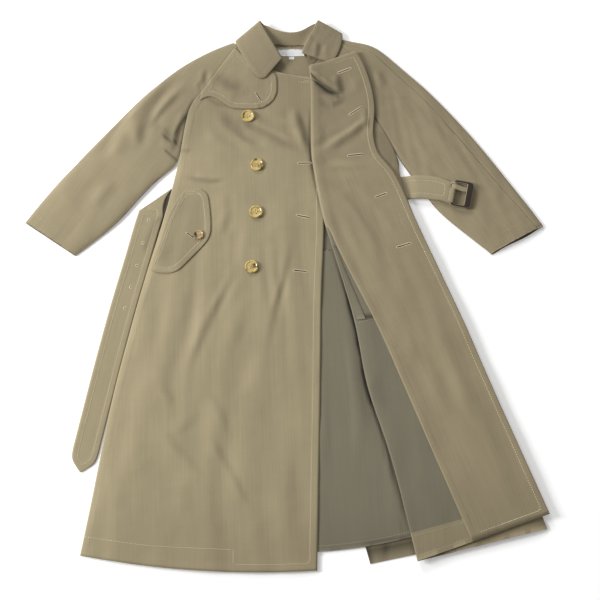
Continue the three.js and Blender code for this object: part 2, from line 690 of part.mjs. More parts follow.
// Collar: a stand rises from the neck seam to the roll, and the fall turns over it
const STAND = [
  { nx: -16, ny: 512, nz: 10.5, rx: -6, ry: 524, rz: 14.5 },
  { nx: -30, ny: 540, nz: 9, rx: -26, ry: 557, rz: 16 },
  { nx: -34, ny: 562, nz: 4.5, rx: -52, ry: 606, rz: 17 },
  { nx: -14, ny: 560.5, nz: 3, rx: -22, ry: 594, rz: 15 },
  { nx: 10, ny: 560, nz: 2.6, rx: 11, ry: 587, rz: 14 },
  { nx: 28, ny: 560, nz: 3, rx: 40, ry: 593, rz: 15 },
  { nx: 44, ny: 560, nz: 4.5, rx: 66, ry: 608, rz: 16.5 },
  { nx: 48, ny: 545, nz: 9.4, rx: 43, ry: 556, rz: 15.5 },
  { nx: 47, ny: 524, nz: 9.8, rx: 41, ry: 532, rz: 14.5 },
];
const standRows = stations(STAND, 2).map((s) =>
  [0, 0.34, 0.67, 1].map(
    (u) => new THREE.Vector3(mix(s.nx, s.rx, u), mix(s.ny, s.ry, u), mix(s.nz, s.rz, u)),
  ),
);
const collarStand = foldedSheet(standRows, CLOTH);

// Storm flap on the right shoulder, with an arched lower edge
const STORM = [
  { lx: -112, ly: 552, mx: -90, my: 527, rx: -66, ry: 505 },
  { lx: -130, ly: 525, mx: -88, my: 506, rx: -28, ry: 490 },
  { lx: -147, ly: 499, mx: -90, my: 486, rx: -19, ry: 477 },
  { lx: -166, ly: 469, mx: -94, my: 461, rx: -18, ry: 458 },
  { lx: -184, ly: 440, mx: -100, my: 436, rx: -18, ry: 440 },
];
const STORM_EDGE = [
  { x: -187, y: 420 },
  { x: -166, y: 431 },
  { x: -142, y: 420 },
  { x: -119, y: 402 },
  { x: -90, y: 399 },
  { x: -60, y: 399 },
  { x: -38, y: 408 },
  { x: -24, y: 424 },
];
const stormColumns = steps(14);
const stormGrid = plan(stations(STORM, 2), stormColumns);
const stormHem = stations(STORM_EDGE, 2).map((p) => new THREE.Vector2(p.x, p.y));
stormGrid.push(
  lastOf(stormGrid).map((p, j) => p.clone().lerp(stormHem[j], 0.5)),
  stormHem,
);
const stormFlap = layer(stormGrid, seatedOn([frontRight, sleeveRightFront], UPPER_SEAT, 4));

// Pocket flap, slanted along the right side
const POCKET = [
  { lx: -213, ly: 206, rx: -181, ry: 207 },
  { lx: -222, ly: 196, rx: -168, ry: 197 },
  { lx: -236, ly: 174, rx: -162, ry: 178 },
  { lx: -254, ly: 130, rx: -157, ry: 130 },
  { lx: -263, ly: 92, rx: -160, ry: 92 },
  { lx: -275, ly: 55, rx: -190, ry: 57 },
  { lx: -282, ly: 33, rx: -212, ry: 32 },
  { lx: -280, ly: 21, rx: -226, ry: 19 },
  { lx: -264, ly: 15, rx: -242, ry: 14 },
];
const pocketFlap = layer(
  plan(stations(POCKET, 2), steps(7)),
  seatedOn([frontRight], UPPER_SEAT, 4),
);

// Collar fall: right leaf, a short turn under the neck edge, left leaf
const FALL = [
  { rx: -7, ry: 521, rz: 16.8, ex: -44, ey: 474, ez: 12.6, bow: 2 },
  { rx: -19, ry: 543, rz: 18, ex: -62, ey: 475, ez: 12.8, bow: 3 },
  { rx: -31, ry: 565, rz: 19, ex: -84, ey: 510, ez: 12.6, bow: 4 },
  { rx: -45, ry: 590, rz: 20, ex: -104, ey: 548, ez: 11.6, bow: 5 },
  { rx: -56, ry: 612, rz: 19.4, ex: -111, ey: 567, ez: 9.6, bow: 4 },
  { rx: -55, ry: 616, rz: 14, ex: -104, ey: 574, ez: 5, bow: 0 },
  { rx: -46, ry: 610, rz: 5, ex: -84, ey: 578, ez: 0.76, bow: 0 },
  { rx: -22, ry: 598, rz: 2, ex: -34, ey: 574, ez: 0.76, bow: 0 },
  { rx: 11, ry: 591, rz: 2, ex: 10, ey: 568, ez: 0.76, bow: 0 },
  { rx: 40, ry: 597, rz: 2, ex: 52, ey: 574, ez: 0.76, bow: 0 },
  { rx: 62, ry: 609, rz: 5, ex: 104, ey: 583, ez: 0.76, bow: 0 },
  { rx: 72, ry: 617, rz: 13, ex: 122, ey: 590, ez: 4, bow: 0 },
  { rx: 71, ry: 613, rz: 18.4, ex: 128, ey: 585, ez: 8, bow: 2 },
  { rx: 56, ry: 580, rz: 18, ex: 126, ey: 562, ez: 9.4, bow: 2 },
  { rx: 42, ry: 552, rz: 17.8, ex: 118, ey: 536, ez: 9.9, bow: 0 },
  { rx: 37, ry: 534, rz: 16.8, ex: 104, ey: 512, ez: 9.9, bow: 0 },
];
const FALL_LOWEST = 0.95; // middle of the turned-under part on the floor
const fallRows = stations(FALL, 2).map((s) =>
  steps(4).map(
    (u) =>
      new THREE.Vector3(
        mix(s.rx, s.ex, u),
        mix(s.ry, s.ey, u),
        Math.max(FALL_LOWEST, mix(s.rz, s.ez, u) + s.bow * Math.sin(Math.PI * u) * 0.5),
      ),
  ),
);
const collarFall = foldedSheet(fallRows, CLOTH);

// Back neck facing with its label and size tab
const NECK_FACING = [
  { lx: -44, ly: 556.4, rx: 58, ry: 556.4 },
  { lx: -52, ly: 530, rx: 70, ry: 530 },
  { lx: -58, ly: 500, rx: 80, ry: 500 },
  { lx: -60, ly: 474, rx: 84, ry: 470 },
];
const neckFacing = layer(
  plan(stations(NECK_FACING, 1), steps(5)),
  seatedOn([backRight, backLeft], UPPER_SEAT),
);
const LABEL = [
  { lx: -16, ly: 550, mx: 13, my: 551, rx: 42, ry: 550 },
  { lx: -16, ly: 534, mx: 13, my: 533, rx: 42, ry: 534 },
];
const SIZE_TAB = [
  { lx: 8, ly: 532.2, rx: 20, ry: 532.2 },
  { lx: 8, ly: 525, rx: 20, ry: 525 },
];
const label = layer(plan(LABEL, steps(6)), seatedOn([neckFacing]), LABEL_CLOTH);
const sizeTab = layer(plan(SIZE_TAB, steps(1)), seatedOn([neckFacing]), LABEL_CLOTH);

// Left front: under run outer side up, a rolled fold, then the opened run inside up
const UNDER_RUN_COLUMNS = [0, 0.05, 0.14, 0.3, 0.5, 0.75, 1];
const FOLD_TURN = [45, 90, 135].map(THREE.MathUtils.degToRad);
const INSIDE_COLUMNS = [0, 0.5];
const FACING_COLUMNS = [0, 0.1, 0.22, 0.34, 0.46, 0.58, 0.7, 0.82, 0.92, 1];
const OPENED_REST = 9.8; // middle of the opened run where it lies on the under run
const OPENED_NECK_RISE = 2.5; // it lies over the collar's left leaf at the neck
const FOLD_LIFT = 2.2; // it is lifted near its fold
const FOLD_REACH = 30;
const EDGE_LIFT = 0.7;

function openedHeight(r, x, y) {
  const near = Math.hypot(x - r.fx, y - r.fy) / FOLD_REACH;
  const lift = FOLD_LIFT * Math.exp(-near * near);
  const folds = foldHeight(OPENED_FOLDS, x, y);
  const neck = OPENED_NECK_RISE * ease((y - 420) / 60);
  return OPENED_REST + neck + Math.max(0, EDGE_LIFT + lift + folds);
}

function leftRow(r) {
  const half = CLOTH / 2;
  const length = Math.hypot(r.sx - r.fx, r.sy - r.fy);
  const inward = { x: (r.sx - r.fx) / length, y: (r.sy - r.fy) / length };
  const underAt = (x, y) => upperLeft(x, y) + half;
  const start = { x: r.fx + inward.x * FOLD_RADIUS, y: r.fy + inward.y * FOLD_RADIUS };
  const under = UNDER_RUN_COLUMNS.map((u) => {
    const [x, y] = [mix(r.sx, start.x, u), mix(r.sy, start.y, u)];
    return new THREE.Vector3(x, y, underAt(x, y));
  });
  const low = lastOf(under).z;
  const high = openedHeight(r, start.x, start.y);
  const radius = (high - low) / 2;
  const turn = FOLD_TURN.map((a) => {
    const out = FOLD_RADIUS * Math.sin(a);
    return new THREE.Vector3(
      start.x - inward.x * out,
      start.y - inward.y * out,
      low + radius * (1 - Math.cos(a)),
    );
  });
  const opened = (x, y) => new THREE.Vector3(x, y, openedHeight(r, x, y));
  const inside = INSIDE_COLUMNS.map((u) => opened(mix(start.x, r.gx, u), mix(start.y, r.gy, u)));
  const facing = FACING_COLUMNS.map((u) => opened(mix(r.gx, r.ex, u), mix(r.gy, r.ey, u)));
  return [...under, ...turn, ...inside, ...facing];
}
const leftMiddle = leftRows.map(leftRow);
const frontLeft = foldedSheet(leftMiddle, CLOTH);

// What lies on the opened run is made from its own points, moved out
const OPENED_START = UNDER_RUN_COLUMNS.length + FOLD_TURN.length;
const FACING_START = OPENED_START + INSIDE_COLUMNS.length;
function onOpenedRun(rows, from, to, thickness) {
  const normalUp = (p, q) => q.clone().sub(p).normalize();
  const [low, high] = [frontLeft.lower, frontLeft.upper];
  const lifted = (gap) =>
    rows.map((i) =>
      high[i].slice(from, to).map((p, j) => {
        const up = normalUp(low[i][from + j], p);
        const sign = up.z < 0 ? -1 : 1;
        const base = sign < 0 ? low[i][from + j] : p;
        return base.clone().addScaledVector(up, sign * gap);
      }),
    );
  const [lower, upper] = [lifted(SEAM), lifted(SEAM + thickness)];
  return { lower, upper, geometry: solidBetween(lower, upper) };
}
const everyRow = leftRows.map((_, i) => i);
const facingLeft = onOpenedRun(everyRow, FACING_START, leftMiddle[0].length, CLOTH);
const BAG_ROWS = everyRow.filter((i) => leftRows[i].fy < 80 && leftRows[i].fy > -100);
const pocketBag = onOpenedRun(BAG_ROWS, OPENED_START, FACING_START, 1);

// Buttons: a dished disc with a raised rim
const BUTTON_PROFILE = [
  { r: 0, z: 0 },
  { r: 0.86, z: 0 },
  { r: 1, z: 0.42 },
  { r: 0.93, z: 1 },
  { r: 0.78, z: 0.94 },
  { r: 0.64, z: 0.62 },
  { r: 0, z: 0.56 },
];
const BUTTON_SIDES = 20;

function button(x, y, radius, carriers) {
  const seat = Math.max(
    ...steps(12).flatMap((t) =>
      [0, 0.5, 0.9].map((k) => {
        const a = 2 * Math.PI * t;
        return roof(carriers, x + radius * k * Math.cos(a), y + radius * k * Math.sin(a), 0);
      }),
    ),
  );
  const height = (BUTTON_HEIGHT * (radius + BUTTON_RADIUS)) / (2 * BUTTON_RADIUS);
  const profile = BUTTON_PROFILE.map((p) => new THREE.Vector2(p.r * radius, p.z * height));
  const geometry = new THREE.LatheGeometry(profile, BUTTON_SIDES);
  geometry.rotateX(Math.PI / 2);
  geometry.translate(x, y, seat + SEAM);
  return geometry;
}

// Belt rows run from the pointed tip up the tail, round the diagonal fold, to the buckle
const heading = (list, i) => {
  const [a, b] = [list[Math.max(0, i - 1)], list[Math.min(list.length - 1, i + 1)]];
  return Math.atan2(b.y - a.y, b.x - a.x);
};

function crossRow(p, angle, z, halfWidth) {
  const [nx, ny] = [-Math.sin(angle) * halfWidth, Math.cos(angle) * halfWidth];
  return [
    new THREE.Vector3(p.x + nx, p.y + ny, z),
    new THREE.Vector3(p.x, p.y, z),
    new THREE.Vector3(p.x - nx, p.y - ny, z),
  ];
}

const BELT_HALF = BELT_CLOTH / 2;
const TAIL_OVER = BELT_CLOTH + 0.7; // the tail lies on the run at the diagonal fold
const TAIL_POINT = [
  { ahead: 1, width: 0.08 },
  { ahead: 0.5, width: 0.54 },
];

function tailRows() {
  const centres = stations([...BELT_TAIL].reverse(), 3);
  const rows = centres.map((p, i) => {
    const lift = TAIL_OVER * ease((p.y - TAIL_LIFT.y) / TAIL_LIFT.reach);
    return crossRow(p, heading(centres, i), BELT_HALF + lift, BELT_WIDTH / 2);
  });
  const along = heading(centres, 0);
  const tip = { x: -Math.cos(along), y: -Math.sin(along) };
  const point = TAIL_POINT.map((t) =>
    crossRow(
      {
        x: centres[0].x + tip.x * BELT_POINT * t.ahead,
        y: centres[0].y + tip.y * BELT_POINT * t.ahead,
      },
      along,
      BELT_HALF,
      (BELT_WIDTH / 2) * t.width,
    ),
  );
  return [...point, ...rows];
}

function foldRows() {
  const radius = TAIL_OVER / 2;
  const along = { x: Math.cos(BELT_FOLD.angle), y: Math.sin(BELT_FOLD.angle) };
  const out = { x: -along.y, y: along.x };
  const row = (inset, z) =>
    [0, 0.5, 1].map(
      (u) =>
        new THREE.Vector3(
          BELT_FOLD.x + along.x * BELT_FOLD.length * u + out.x * inset,
          BELT_FOLD.y + along.y * BELT_FOLD.length * u + out.y * inset,
          z,
        ),
    );
  return [0, 45, 90, 135, 180].map((degrees) => {
    const a = THREE.MathUtils.degToRad(degrees);
    return row(radius * Math.sin(a), BELT_HALF + radius * (1 + Math.cos(a)));
  });
}

// Rows that turn from across the belt to along the fold
const TURN_DOWN = [0.35, 0.7];
// The tail's inner edge is drawn away from the coat there and leaves a narrow opening
const DRAWN_AWAY = [
  { x: -261.5, y: 166 },
  { x: -256, y: 191 },
];
const TURN_UP = [0.3, 0.65];
function turningRow(first, last, t) {
  return first.map((p, j) => p.clone().lerp(last[j], t));
}

const sleeveCarriers = [sleeveLeftFront, sleeveLeftBack];
const RUN_SAMPLES = [-9, 0, 9];
const RUN_SAMPLES_ACROSS = [-27, -18, -9, 0, 9, 18, 27];
function runHeight(x, y) {
  let best = 0;
  for (const dx of RUN_SAMPLES) {
    for (const dy of RUN_SAMPLES_ACROSS) {
      best = Math.max(best, roof(sleeveCarriers, x + dx, y + dy, 0) + SEAM);
    }
  }
  return best;
}

const HINGE = { x: 357, y: 197.5, angle: THREE.MathUtils.degToRad(-12) };
const BUCKLE = {
  length: 46,
  height: 62,
  hinge: 6,
  outer: 14,
  rail: 5.5,
  thickness: 4,
  corner: 9,
};
const SEAT_SAMPLES = [-4, 6, 16, 26, 36, 44];
const SEAT_SAMPLES_ACROSS = [-30, -18, -6, 6, 18, 30];
const buckleSeat = Math.max(
  ...SEAT_SAMPLES.flatMap((a) =>
    SEAT_SAMPLES_ACROSS.map((b) => {
      const [c, s] = [Math.cos(HINGE.angle), Math.sin(HINGE.angle)];
      return roof(sleeveCarriers, HINGE.x + a * c - b * s, HINGE.y + a * s + b * c, 0);
    }),
  ),
);
const FRAME_BOTTOM = buckleSeat + SEAM + BELT_CLOTH + SEAM;

function runRows() {
  const { from, to } = BELT_RUN_SPAN;
  const centres = stations(BELT_RUN, 4).filter((p) => p.x > from && p.x < to);
  return centres.map((p, i) => {
    const rise = p.x < BELT_OUT ? 0 : runHeight(p.x, p.y);
    const z = mix(rise, buckleSeat + SEAM, ease((p.x - ONTO_SEAT.x) / ONTO_SEAT.reach));
    const drawnIn = ease((p.x - NARROWING.x) / NARROWING.reach);
    const half = mix(BELT_WIDTH, BELT_END_WIDTH, drawnIn) / 2;
    return crossRow(p, heading(centres, i), Math.max(rise, z) + BELT_HALF, half);
  });
}

const END_TURN = 4.6; // where the belt's end begins to turn, measured from the frame's edge
const END_FLAP = { back: -3.5, sunk: 0.4 }; // where the turned end stops, and how far it sags
const END_WRAP = [30, 60, 90, 120, 150].map(THREE.MathUtils.degToRad);

// The belt's end goes under the hinge bar, round it and back over it
function endRows() {
  const under = buckleSeat + SEAM + BELT_HALF;
  const over = FRAME_BOTTOM + BUCKLE.thickness + SEAM + BELT_HALF;
  const radius = (over - under) / 2;
  const at = (along, z) => {
    const p = {
      x: HINGE.x + along * Math.cos(HINGE.angle),
      y: HINGE.y + along * Math.sin(HINGE.angle),
    };
    return crossRow(p, HINGE.angle, z, BELT_END_WIDTH / 2);
  };
  const wrap = END_WRAP.map((a) =>
    at(END_TURN + radius * Math.sin(a), under + radius * (1 - Math.cos(a))),
  );
  const flap = at(END_FLAP.back, over - END_FLAP.sunk);
  return [at(0, under), at(END_TURN, under), ...wrap, at(END_TURN, over), flap];
}

function beltRows() {
  const tail = tailRows();
  const fold = foldRows();
  const run = runRows();
  const turnDown = TURN_DOWN.map((t, i) => {
    const row = turningRow(lastOf(tail), fold[0], t);
    lastOf(row).setX(DRAWN_AWAY[i].x).setY(DRAWN_AWAY[i].y);
    return row;
  });
  const turnUp = TURN_UP.map((t) => turningRow(lastOf(fold), run[0], t));
  return [...tail, ...turnDown, ...fold, ...turnUp, ...run, ...endRows()];
}
const beltMiddle = beltRows();
const beltSheet = foldedSheet(beltMiddle, BELT_CLOTH);

// Joins and cuts
const wasm = await Module();
wasm.setup();

function asManifold(geometry) {
  const bare = new THREE.BufferGeometry();
  bare.setAttribute("position", geometry.getAttribute("position"));
  bare.setIndex(geometry.getIndex());
  const merged = mergeVertices(bare);
  return new wasm.Manifold(
    new wasm.Mesh({
      numProp: 3,
      vertProperties: new Float32Array(merged.getAttribute("position").array),
      triVerts: new Uint32Array(merged.getIndex().array),
    }),
  );
}

function asGeometry(solid) {
  const mesh = solid.getMesh();
  const geometry = new THREE.BufferGeometry();
  geometry.setAttribute("position", new THREE.BufferAttribute(mesh.vertProperties, 3));
  geometry.setIndex(new THREE.BufferAttribute(mesh.triVerts, 1));
  return geometry;
}

// Buckle: frame lying outer face down on the sleeve, tongue held between frame and cloth
function inBuckle(geometry) {
  geometry.rotateZ(HINGE.angle);
  geometry.translate(HINGE.x, HINGE.y, 0);
  return geometry;
}

function roundedBox(x0, x1, y0, y1, corner) {
  const shape = new THREE.Shape();
  shape.moveTo(x0 + corner, y0);
  shape.lineTo(x1 - corner, y0);
  shape.absarc(x1 - corner, y0 + corner, corner, -Math.PI / 2, 0, false);
  shape.lineTo(x1, y1 - corner);
  shape.absarc(x1 - corner, y1 - corner, corner, 0, Math.PI / 2, false);
  shape.lineTo(x0 + corner, y1);
  shape.absarc(x0 + corner, y1 - corner, corner, Math.PI / 2, Math.PI, false);
  shape.lineTo(x0, y0 + corner);
  shape.absarc(x0 + corner, y0 + corner, corner, Math.PI, 1.5 * Math.PI, false);
  return shape;
}

const FRAME_BEVEL = 0.9;
function buckleFrame() {
  const half = BUCKLE.height / 2;
  const shape = roundedBox(
    FRAME_BEVEL,
    BUCKLE.length - FRAME_BEVEL,
    -half + FRAME_BEVEL,
    half - FRAME_BEVEL,
    BUCKLE.corner,
  );
  const hole = roundedBox(
    BUCKLE.hinge - FRAME_BEVEL,
    BUCKLE.length - BUCKLE.outer + FRAME_BEVEL,
    -half + BUCKLE.rail - FRAME_BEVEL,
    half - BUCKLE.rail + FRAME_BEVEL,
    3,
  );
  shape.holes.push(hole);
  const geometry = new THREE.ExtrudeGeometry(shape, {
    depth: BUCKLE.thickness - 2 * FRAME_BEVEL,
    bevelThickness: FRAME_BEVEL,
    bevelSize: FRAME_BEVEL,
    bevelSegments: 1,
    curveSegments: 4,
  });
  geometry.translate(0, 0, FRAME_BOTTOM + FRAME_BEVEL);
  return inBuckle(geometry);
}

const TONGUE = { width: 10.5, wall: 1.3, reach: 42, thickness: 2, offset: 14 };
function buckleTongue() {
  const low = FRAME_BOTTOM - SEAM - TONGUE.wall;
  const high = FRAME_BOTTOM + BUCKLE.thickness + SEAM + TONGUE.wall;
  const [back, front] = [-SEAM - TONGUE.wall, BUCKLE.hinge + SEAM + TONGUE.wall];
  const seat = buckleSeat + SEAM;
  const shape = new THREE.Shape();
  shape.moveTo(back, low + 1);
  shape.lineTo(back + 1, low);
  shape.lineTo(front + 6, low);
  shape.lineTo(front + 13, seat);
  shape.lineTo(TONGUE.reach, seat);
  shape.lineTo(TONGUE.reach, seat + TONGUE.thickness);
  shape.lineTo(front + 15, seat + TONGUE.thickness);
  shape.lineTo(front + 2, high - 0.6);
  shape.lineTo(front - 1, high);
  shape.lineTo(back + 1, high);
  shape.lineTo(back, high - 1);
  shape.closePath();
  const eye = new THREE.Path();
  eye.moveTo(-SEAM, FRAME_BOTTOM - SEAM);
  eye.lineTo(-SEAM, FRAME_BOTTOM + BUCKLE.thickness + SEAM);
  eye.lineTo(BUCKLE.hinge + SEAM, FRAME_BOTTOM + BUCKLE.thickness + SEAM);
  eye.lineTo(BUCKLE.hinge + SEAM, FRAME_BOTTOM - SEAM);
  eye.closePath();
  shape.holes.push(eye);
  const geometry = new THREE.ExtrudeGeometry(shape, { depth: TONGUE.width, bevelEnabled: false });
  geometry.rotateX(Math.PI / 2);
  geometry.translate(0, TONGUE.offset + TONGUE.width / 2, 0);
  return inBuckle(geometry);
}

// Slot in the belt's turned end for the tongue's eye
function slottedBelt() {
  const slot = new THREE.BoxGeometry(22, TONGUE.width + 2 * SEAM, 12);
  slot.translate(8, TONGUE.offset, FRAME_BOTTOM + 1);
  inBuckle(slot);
  return asGeometry(asManifold(beltSheet.geometry).subtract(asManifold(slot)));
}

// Materials
const KHAKI = 0x9a8f72;
const KHAKI_SHADE = 0x8a7f64;
const GRAY = 0x756c5a;
const HORN = 0x8a6a38;
const DARK = 0x2a1e16;
const WHITE = 0xe8e8e6;

const coat = new THREE.Group();
function add(name, geometry, color, roughness = 0.85) {
  const material = new THREE.MeshStandardMaterial({ color, roughness, metalness: 0 });
  const mesh = new THREE.Mesh(geometry, material);
  mesh.name = name;
  coat.add(mesh);
}

const FRONT_BUTTONS = [
  { x: -81, y: 380 },
  { x: -60, y: 264 },
  { x: -61, y: 153 },
  { x: -69, y: 27 },
];
const POCKET_BUTTON = { x: -182, y: 100 };

add("back_right", backRight.geometry, KHAKI_SHADE);
add("back_left", backLeft.geometry, KHAKI_SHADE);
add("pleat_underlay", pleatUnderlay.geometry, GRAY);
add("back_neck_facing", neckFacing.geometry, KHAKI_SHADE);
add("label", label.geometry, WHITE);
add("size_tab", sizeTab.geometry, WHITE);
add("front_right", frontRight.geometry, KHAKI);
add("front_left", frontLeft.geometry, GRAY);
add("facing_left", facingLeft.geometry, KHAKI_SHADE);
add("pocket_bag_left", pocketBag.geometry, GRAY);
add("pocket_flap_right", pocketFlap.geometry, KHAKI);
add("storm_flap_right", stormFlap.geometry, KHAKI);
add("collar_stand", collarStand.geometry, KHAKI_SHADE);
add("collar_fall", collarFall.geometry, KHAKI);
add("sleeve_right_front", sleeveRightFront.geometry, KHAKI);
add("sleeve_right_back", sleeveRightBack.geometry, KHAKI_SHADE);
add("sleeve_left_front", sleeveLeftFront.geometry, KHAKI);
add("sleeve_left_back", sleeveLeftBack.geometry, KHAKI_SHADE);
FRONT_BUTTONS.forEach((b, i) => {
  const geometry = button(b.x, b.y, BUTTON_RADIUS, [frontRight, stormFlap]);
  add("button_front_" + (i + 1), geometry, HORN, 0.35);
});
add(
  "button_pocket",
  button(POCKET_BUTTON.x, POCKET_BUTTON.y, POCKET_BUTTON_RADIUS, [frontRight, pocketFlap]),
  HORN,
  0.35,
);
add("belt", slottedBelt(), KHAKI);
add("buckle_frame", buckleFrame(), DARK, 0.3);
add("buckle_tongue", buckleTongue(), KHAKI, 0.6);

// The part stands over the origin
const box = new THREE.Box3().setFromObject(coat);
const middle = box.getCenter(new THREE.Vector3());
coat.children.forEach((mesh) => mesh.geometry.translate(-middle.x, -middle.y, -box.min.z));

export default coat;
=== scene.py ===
"""A double-breasted trench coat laid open on its back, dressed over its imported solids."""
import logging
import math
from dataclasses import dataclass
from enum import Enum
from functools import cache
from typing import Callable, Iterable, Sequence

import bmesh
import bpy
import numpy as np
from mathutils import Matrix, Vector
from mathutils.bvhtree import BVHTree
from mathutils.kdtree import KDTree


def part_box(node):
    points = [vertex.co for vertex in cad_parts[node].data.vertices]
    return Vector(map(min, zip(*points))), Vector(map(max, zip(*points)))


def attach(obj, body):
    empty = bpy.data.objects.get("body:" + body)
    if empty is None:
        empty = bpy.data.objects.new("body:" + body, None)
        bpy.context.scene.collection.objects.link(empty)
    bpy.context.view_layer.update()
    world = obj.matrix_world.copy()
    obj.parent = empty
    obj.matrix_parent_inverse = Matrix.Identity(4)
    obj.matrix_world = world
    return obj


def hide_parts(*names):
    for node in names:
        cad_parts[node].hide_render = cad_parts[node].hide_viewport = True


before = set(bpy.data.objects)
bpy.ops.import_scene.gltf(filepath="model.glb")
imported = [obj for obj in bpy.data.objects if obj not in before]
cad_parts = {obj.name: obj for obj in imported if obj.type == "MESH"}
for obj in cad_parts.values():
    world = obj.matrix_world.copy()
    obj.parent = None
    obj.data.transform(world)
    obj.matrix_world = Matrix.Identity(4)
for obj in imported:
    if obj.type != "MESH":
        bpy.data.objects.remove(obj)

LOG = logging.getLogger("coat")
MM = 0.001
PLAN_SHIFT = (0.507, -1.162)  # millimetres from the pattern plan to the frame
WALL = 1.5  # millimetres of cloth with its turned edges
UP = Vector((0, 0, 1))
Array = np.ndarray
Colour = tuple[int, int, int]
Object = bpy.types.Object
Point = tuple[float, float]
Keep = Callable[[float, float], bool]
Where = Callable[[Array, Array, Array, Array], Array]
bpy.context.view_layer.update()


def smooth(t: Array) -> Array:
    """Soft step from 0 to 1."""
    t = np.clip(t, 0.0, 1.0)
    return t * t * (3 - 2 * t)


def plan(point: Point, z: float) -> Vector:
    """A pattern point and a height in millimetres, as a place in metres."""
    return Vector(((point[0] + PLAN_SHIFT[0]) * MM, (point[1] + PLAN_SHIFT[1]) * MM, z * MM))


def linear(colour: Colour, gain: float = 1.0) -> tuple[float, float, float, float]:
    """A screen colour as linear light.

    Args:
        colour: Red, green and blue from 0 to 255.
        gain: Factor on the linear light.

    Returns:
        Linear red, green, blue and alpha.
    """
    parts = [(c / 255 / 12.92) if c < 10.4 else ((c / 255 + 0.055) / 1.055) ** 2.4 for c in colour]
    return (parts[0] * gain, parts[1] * gain, parts[2] * gain, 1.0)


# Materials


class Wire:
    """A node's output socket that can be reckoned with."""

    def __init__(self, graph: "Graph", socket: bpy.types.NodeSocket) -> None:
        """Keep the graph and the socket."""
        self.graph, self.socket = graph, socket

    def reckon(self, operation: str, first: object, second: object) -> "Wire":
        """Add one Math node with that operation on two values or wires."""
        return self.graph.node("ShaderNodeMath", {"operation": operation}, {0: first, 1: second})

    def __add__(self, other: object) -> "Wire":
        """Sum."""
        return self.reckon("ADD", self, other)

    def __radd__(self, other: object) -> "Wire":
        """Sum with a number first."""
        return self.reckon("ADD", other, self)

    def __sub__(self, other: object) -> "Wire":
        """Difference."""
        return self.reckon("SUBTRACT", self, other)

    def __mul__(self, other: object) -> "Wire":
        """Product."""
        return self.reckon("MULTIPLY", self, other)


class Graph:
    """One material and its nodes."""

    def __init__(self, name: str) -> None:
        """Start an empty material of that name.

        Args:
            name: The material's name.
        """
        self.material = bpy.data.materials.new(name)
        self.material.use_nodes = True
        self.tree = self.material.node_tree
        self.tree.nodes.clear()

    def find(self, sockets: bpy.types.bpy_prop_collection, key: object) -> bpy.types.NodeSocket:
        """A socket by place, identifier or name.

        Args:
            sockets: A node's inputs or outputs.
            key: Place, identifier or name.

        Returns:
            The socket.
        """
        if isinstance(key, int):
            return sockets[key]
        named = [s for s in sockets if s.identifier == key] or [s for s in sockets if s.name == key]
        return named[0]

    def node(
        self,
        kind: str,
        settings: dict[str, object] | None = None,
        sockets: dict[object, object] | None = None,
        output: object = 0,
    ) -> Wire:
        """Add a node.

        Args:
            kind: The node's type.
            settings: Its settings, with a ramp's stops under stops.
            sockets: Values or wires for its inputs.
            output: Which output the wire takes.

        Returns:
            The output's wire.
        """
        made = self.tree.nodes.new(kind)
        for key, value in (settings or {}).items():
            if key == "stops":
                ramp = made.color_ramp
                while len(ramp.elements) < len(value):
                    ramp.elements.new(0.5)
                for element, (place, colour) in zip(ramp.elements, value):
                    element.position, element.color = place, colour
            else:
                setattr(made, key, value)
        for key, value in (sockets or {}).items():
            socket = self.find(made.inputs, key)
            if isinstance(value, Wire):
                self.tree.links.new(value.socket, socket)
            else:
                socket.default_value = value
        return Wire(self, self.find(made.outputs, output))

    def value(self, name: str) -> Wire:
        """A number that the mesh keeps at each point."""
        return self.node("ShaderNodeAttribute", {"attribute_name": name}, {}, "Fac")

    def blend(self, factor: object, first: object, second: object) -> Wire:
        """Mix two colours."""
        sockets = {"Factor_Float": factor, "A_Color": first, "B_Color": second}
        return self.node("ShaderNodeMix", {"data_type": "RGBA"}, sockets, "Result_Color")

    def turned(self, angle: float = 0.0, scale: Sequence[float] = (1, 1, 1)) -> Wire:
        """Object coordinates turned about Z and scaled.

        Args:
            angle: Degrees.
            scale: Factors along the turned axes.

        Returns:
            The coordinates.
        """
        place = self.node("ShaderNodeTexCoord", output="Object")
        turn = {"Vector": place, "Rotation": (0, 0, math.radians(angle))}
        spun = self.node("ShaderNodeMapping", {}, turn)
        return self.node("ShaderNodeMapping", {}, {"Vector": spun, "Scale": scale})

    def noise(self, place: Wire, scale: float = 1.0, detail: float = 2.0) -> Wire:
        """Noise from 0 to 1 over a place."""
        sockets = {"Vector": place, "Scale": scale, "Detail": detail}
        return self.node("ShaderNodeTexNoise", {}, sockets, "Fac")

    def waves(
        self, angle: float, scale: float, distortion: float = 0.0, direction: str = "X"
    ) -> Wire:
        """Straight bands from 0 to 1.

        Args:
            angle: Degrees by which the bands are turned.
            scale: How close they stand.
            distortion: How uneven they run.
            direction: The axis across them.

        Returns:
            The bands' wire.
        """
        sockets = {"Vector": self.turned(angle), "Scale": scale, "Distortion": distortion}
        return self.node("ShaderNodeTexWave", {"bands_direction": direction}, sockets, "Fac")

    def bump(self, height: Wire, strength: float, distance: float) -> Wire:
        """A normal from a height, with its strength and its depth in metres."""
        sockets = {"Strength": strength, "Distance": distance, "Height": height}
        return self.node("ShaderNodeBump", {}, sockets, "Normal")

    def finish(self, sockets: dict[object, object]) -> bpy.types.Material:
        """Close the graph with a surface shader that has these values and wires.

        Args:
            sockets: The shader's values and wires by name.

        Returns:
            The material.
        """
        shader = self.node("ShaderNodeBsdfPrincipled", {}, sockets, "BSDF")
        out = self.tree.nodes.new("ShaderNodeOutputMaterial")
        self.tree.links.new(shader.socket, out.inputs["Surface"])
        return self.material


